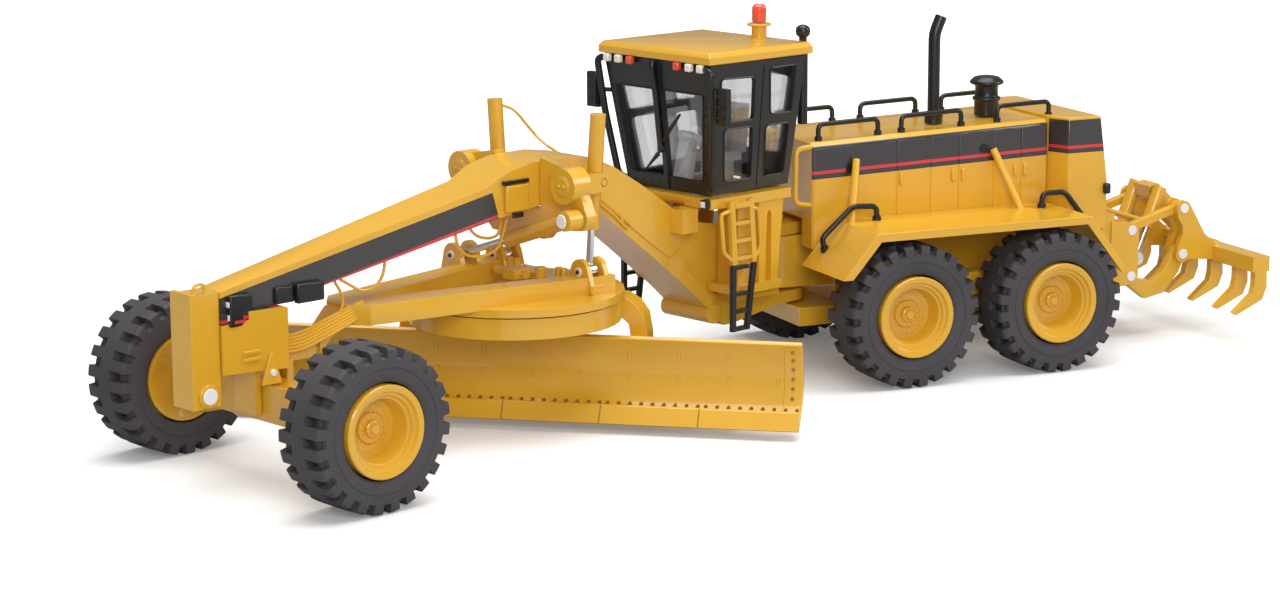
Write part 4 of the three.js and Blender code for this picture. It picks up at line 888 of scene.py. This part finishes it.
for side, hand in SIDES.items():
    add(f"{side}_nose_lamp_box", nose_lamp_box().hand(hand), FRONT, "black", "front_frame", bevel=0.4)
    glass = repeated(block(179.3, 179.65, 4.0, 5.2, -0.65, 0.65), [(0, 0, 43.0), (0, 0, 40.0)])
    add(f"{side}_nose_lamps", glass.hand(hand), FRONT, "pale", "front_frame", bevel=0.15)
    line = block(173.1, 178.4, 5.4, 5.62, 38.6, 39.3)
    add(f"{side}_nose_red_line", line.hand(hand), FRONT, "red", "front_frame")
    add(f"{side}_beam_pockets", beam_pockets().hand(hand), FRONT, "black", "front_frame", bevel=0.4)
    neck = neck_panel() + neck_ribs()
    add(f"{side}_neck_panel", neck.hand(hand), FRONT, "yellow", "front_frame", bevel=0.15)
    add(f"{side}_drum_boss", drum_boss().hand(hand), FRONT, "yellow", "front_frame", bevel=0.12)
    box = block(94.0, 101.0, 7.7, 8.9, 54.6, 61.0)
    add(f"{side}_knee_box", box.hand(hand), FRONT, "yellow", "front_frame", bevel=0.3)
    # Black strips above and below the knee box are painted shade, standing for the shadow inside the slots there.
    slot_shadow_strips = block(93.6, 101.6, 7.7, 8.6, 61.3, 62.2) + block(95.5, 98.5, 7.7, 8.6, 53.0, 54.2)
    add(f"{side}_knee_slot_shadow_strips", slot_shadow_strips.hand(hand), FRONT, "black", "front_frame", bevel=0.1)
    boss = pin((184.6, 3.3, 22.7), (184.6, 4.1, 22.7), 2.7, 28)
    add(f"{side}_tow_boss", boss.hand(hand), FRONT, "yellow", "front_frame", bevel=0.2)
    tow = pin((184.6, 4.0, 22.7), (184.6, 4.45, 22.7), 1.9, 28)
    add(f"{side}_tow_pin", tow.hand(hand), FRONT, "silver", "front_frame", bevel=0.15)
    add(f"{side}_nose_bracket", nose_bracket().hand(hand), FRONT, "yellow", "front_frame", bevel=0.15)
    bolt = pin((170.5, 8.5, 26.8), (170.5, 9.1, 26.8), 0.8, 16)
    add(f"{side}_nose_bolt", bolt.hand(hand), FRONT, "silver", "front_frame", bevel=0.12)
add("beam_hoses", hoses(), FRONT, "yellow", "front_frame")
add("hose_bundle", hose_bundle(), FRONT, "yellow", "front_frame")
loop = [(184.0, 2.4, 45.6), (184.0, 2.4, 48.2), (187.0, 2.4, 48.2), (187.0, 2.4, 45.6)]
add("lifting_eye", tube(bent(loop, 1.4), 0.4, 10, up=(0, 1, 0)), FRONT, "yellow", "front_frame")
line = [
    (79.6, -17.4, 75.8), (76.4, -16.6, 74.6), (73.2, -15.6, 70.4), (70.4, -13.2, 66.0), (67.6, -7.6, 62.6),
]
add("lift_hose", tube(bent(line, 3, 6), 0.36, 8, up=(0, 1, 0.1)), FRONT, "yellow", "front_frame")

# ---------------------------------------------------------------- pins and bolts
def pin_head(x, y, z, radius=1.2):
    """A low round head on a face that looks ahead."""
    return pin((x, y, z), (x + 0.45, y, z), radius, 24)


ears = [(84.4, 15.8, 39.0), (84.4, -15.8, 39.0), (95.9, -18.4, 40.0)]
add("drawbar_pin_heads", sum(pin_head(*ear) for ear in ears), FRONT, "silver", "drawbar", bevel=0.15)
add("shift_pin_head", pin_head(95.2, 22.0, 53.5, radius=1.7), FRONT, "silver", "front_frame", bevel=0.2)
# Black discs on the drawbar's pin heads are painted shade, standing for the shadow inside each head's dimple.
dimple_shadows = sum(pin_head(x + 0.4, y, z, radius=0.42) for x, y, z in ears)
add("drawbar_pin_dimple_shadows", dimple_shadows, FRONT, "black", "drawbar")


def cluster():
    """The valve block and unions that sit between the drawbar's ears."""
    parts = [pin((85, y, 36.4), (85, y, 39.4), 0.9, 12) for y in (-9, -6.4, 9.2, 11)]
    parts += [pin((90, -8.6, 37.2), (90, 3.2, 37.2), 0.95, 12), block(87.5, 92.5, -3.2, 1.4, 36, 38.6)]
    parts += [pin((88.5, 6.5, 36.0), (88.5, 6.5, 39.6), 1.3, 14)]
    parts += [pin((86.2, -2, 36.4), (86.2, 6, 36.4), 0.7, 10)]
    return sum(parts)


add("drawbar_unions", cluster(), FRONT, "yellow", "drawbar", bevel=0.12)

ARM = {"frame": -59.7, "beam": -76.5, "low": 18.1, "high": 30.9, "rise": 4.9, "face": 14.6}
frame_pins = [(ARM["frame"], ARM["low"]), (ARM["frame"], ARM["high"])]
beam_pins = [(ARM["beam"], ARM["low"] + ARM["rise"]), (ARM["beam"], ARM["high"] + ARM["rise"])]
for side, hand in SIDES.items():
    for name, places, body in (("bracket", frame_pins, "rear_frame"), ("ripper", beam_pins, "ripper_beam")):
        heads = sum(pin((x, ARM["face"] - 0.4, z), (x, ARM["face"] + 0.25, z), 1.35, 24) for x, z in places)
        add(f"{side}_{name}_pin_heads", heads.hand(hand), REAR, "silver", body, bevel=0.15)


# ---------------------------------------------------------------- moldboard
BLADE = {"u": 11.68, "z": 14.84, "radius": 13.0, "middle": -2.0, "half": 73.1, "sections": 6}
STUD_ROWS = (12.6, 18.2)
EDGE_BOLT_ROW = 6.5


def face_u(z):
    """Where the moldboard's hollow face is, ahead of the circle's centre, at a height."""
    return BLADE["u"] - math.sqrt(BLADE["radius"] ** 2 - (z - BLADE["z"]) ** 2)


def face_studs():
    """Two level rows of small upright lugs on the hollow face, two to each section of the cutting edge."""
    lug = block(-0.15, 0.55, -0.3, 0.3, -0.8, 0.8)
    sections = BLADE["sections"]
    places = BLADE["middle"] + BLADE["half"] * (np.arange(2 * sections) + 0.5 - sections) / sections
    return repeated(lug, [(face_u(z), v, z) for z in STUD_ROWS for v in places])


def edge_bolts():
    """A close row of bolt heads above the cutting edge, nine to a section and two of them near each seam."""
    head = pin((-0.2, 0, 0), (0.62, 0, 0), 0.46, 10)
    end, section = BLADE["middle"] - BLADE["half"], 2 * BLADE["half"] / BLADE["sections"]
    shares = np.linspace(0.04, 0.96, 9)
    places = [end + (k + share) * section for k in range(BLADE["sections"]) for share in shares]
    return repeated(head, [(face_u(EDGE_BOLT_ROW), v, EDGE_BOLT_ROW) for v in places])


def section_seams():
    """The seams between the sections of the cutting edge, from the bolts down to the ground edge."""
    places = np.linspace(-1, 1, BLADE["sections"] + 1)[1:-1] * BLADE["half"] + BLADE["middle"]
    return sum(tube([(8.0, v, 2.8), (5.45, v, 6.7)], 0.15, 6, up=(0, 1, 0)) for v in places)


def end_strips():
    """A raised strip down each end of the face, which follows its curve."""
    heights, proud, sunk, inset, width = np.linspace(5.4, 21.4, 26), 0.32, 0.2, 0.3, 4.2
    outline = [(face_u(z) + proud, z) for z in heights] + [(face_u(z) - sunk, z) for z in heights[::-1]]
    parts = []
    for way in (-1, 1):
        outer = BLADE["middle"] + way * (BLADE["half"] - inset)
        parts.append(plate(outline, *sorted((outer, outer - way * width)), "xz"))
    return sum(parts)


def end_bolts():
    """A column of bolt heads down each end strip."""
    head = pin((0.1, 0, 0), (0.75, 0, 0), 0.42, 10)
    ends = [BLADE["middle"] + way * (BLADE["half"] - 2.4) for way in (-1, 1)]
    return repeated(head, [(face_u(z), v, z) for v in ends for z in (9.0, 11.3, 13.6, 15.9, 18.2, 20.4)])


add("face_studs", face_studs(), CIRCLE, "yellow", "blade")
# The bolts and seams below wear the dark brown painted shade in place of the shadow in their hollows and gaps.
add("edge_bolts", edge_bolts(), CIRCLE, "shade", "blade")
add("section_seams", section_seams(), CIRCLE, "shade", "blade")
add("end_strips", end_strips(), CIRCLE, "yellow", "blade", bevel=0.1)
add("end_bolts", end_bolts(), CIRCLE, "shade", "blade")


# ---------------------------------------------------------------- floor, lamps and camera
def floor_finish():
    """A white floor. What the camera sees directly glows, and the glow grows with the distance from the
    model, so that contact shadows stay and the far floor is white. Light from the model meets a plain grey
    floor that doesn't glow."""
    finish = Finish("floor")
    finish.set(base_color=(0.5, 0.5, 0.5), roughness=0.9, specular_ior_level=0.1)
    tree = finish.tree
    seen = tree.nodes.new("ShaderNodeBsdfPrincipled")
    seen.inputs["Base Color"].default_value = (0.9, 0.9, 0.9, 1)
    seen.inputs["Roughness"].default_value = 0.9
    seen.inputs["Specular IOR Level"].default_value = 0.1
    seen.inputs["Emission Strength"].default_value = 1.0
    place = tree.nodes.new("ShaderNodeTexCoord")
    away = tree.nodes.new("ShaderNodeVectorMath")
    away.operation = "LENGTH"
    glow = tree.nodes.new("ShaderNodeMapRange")
    for name, value in {"From Min": 0.2, "From Max": 0.9, "To Min": 0.12, "To Max": 1.0}.items():
        glow.inputs[name].default_value = value
    tree.links.new(place.outputs["Object"], away.inputs[0])
    tree.links.new(away.outputs["Value"], glow.inputs["Value"])
    tree.links.new(glow.outputs["Result"], seen.inputs["Emission Color"])
    path = tree.nodes.new("ShaderNodeLightPath")
    mix = tree.nodes.new("ShaderNodeMixShader")
    tree.links.new(path.outputs["Is Camera Ray"], mix.inputs["Fac"])
    tree.links.new(finish.surface.outputs["BSDF"], mix.inputs[1])
    tree.links.new(seen.outputs["BSDF"], mix.inputs[2])
    tree.links.new(mix.outputs["Shader"], tree.nodes["Material Output"].inputs["Surface"])
    return finish


def studio():
    """A white floor, a world that is white to the camera and dim to everything else, a broad soft lamp
    overhead, one in front and a weak one behind."""
    half, reach = 6.0, 5.0  # metres
    corners = [(-half, -reach, 0), (half, -reach, 0), (half, reach, 0), (-half, reach, 0)]
    floor = bpy.data.meshes.new("floor")
    floor.from_pydata(corners, [], [(0, 1, 2, 3)])
    floor.materials.append(floor_finish().material)
    piece = bpy.data.objects.new("floor", floor)
    bpy.context.scene.collection.objects.link(piece)
    world = bpy.data.worlds.new("studio")
    bpy.context.scene.world = world
    world.use_nodes = True
    nodes, links = world.node_tree.nodes, world.node_tree.links
    back = nodes["Background"]
    back.inputs["Color"].default_value = (1, 1, 1, 1)
    path = nodes.new("ShaderNodeLightPath")
    level = nodes.new("ShaderNodeMapRange")
    level.inputs["To Min"].default_value = 0.26
    level.inputs["To Max"].default_value = 1.0
    links.new(path.outputs["Is Camera Ray"], level.inputs["Value"])
    links.new(level.outputs["Result"], back.inputs["Strength"])
    lamps = [  # name, place and aim in metres, width in metres, power in watts
        ("overhead", (0.0, 0.0, 0.95), (0.0, 0.0, 0.03), 1.0, 11.0),
        ("front", (0.30, 0.95, 0.42), (0.0, 0.0, 0.04), 0.5, 5.2),
        ("rear", (-0.8, 0.35, 0.45), (-0.05, 0.0, 0.04), 0.4, 2.2),
    ]
    for name, at, aim, size, power in lamps:
        data = bpy.data.lights.new(name, "AREA")
        data.shape, data.size, data.energy = "SQUARE", size, power
        lamp = bpy.data.objects.new(name, data)
        lamp.location = at
        lamp.rotation_euler = (Vector(aim) - Vector(at)).to_track_quat("-Z", "Y").to_euler()
        bpy.context.scene.collection.objects.link(lamp)


def camera():
    """A camera at a heading, a height and a distance from its aim: degrees, degrees and millimetres."""
    azimuth, elevation, distance = math.radians(64.98), math.radians(11.69), 929.76
    target = np.array([12.108, -111.748, -6.217])
    level = math.cos(elevation)
    way = np.array([level * math.cos(azimuth), level * math.sin(azimuth), math.sin(elevation)])
    data = bpy.data.cameras.new("camera")
    data.sensor_width, data.lens, data.shift_x = 36.0, 86.16, -0.04695
    data.clip_start = 0.01
    eye = bpy.data.objects.new("camera", data)
    eye.location = Vector(REAR.out(target + way * distance))
    eye.rotation_euler = Vector(-way).to_track_quat("-Z", "Y").to_euler()
    bpy.context.scene.collection.objects.link(eye)
    bpy.context.scene.camera = eye


studio()
camera()
bpy.context.scene.view_settings.view_transform = "Standard"
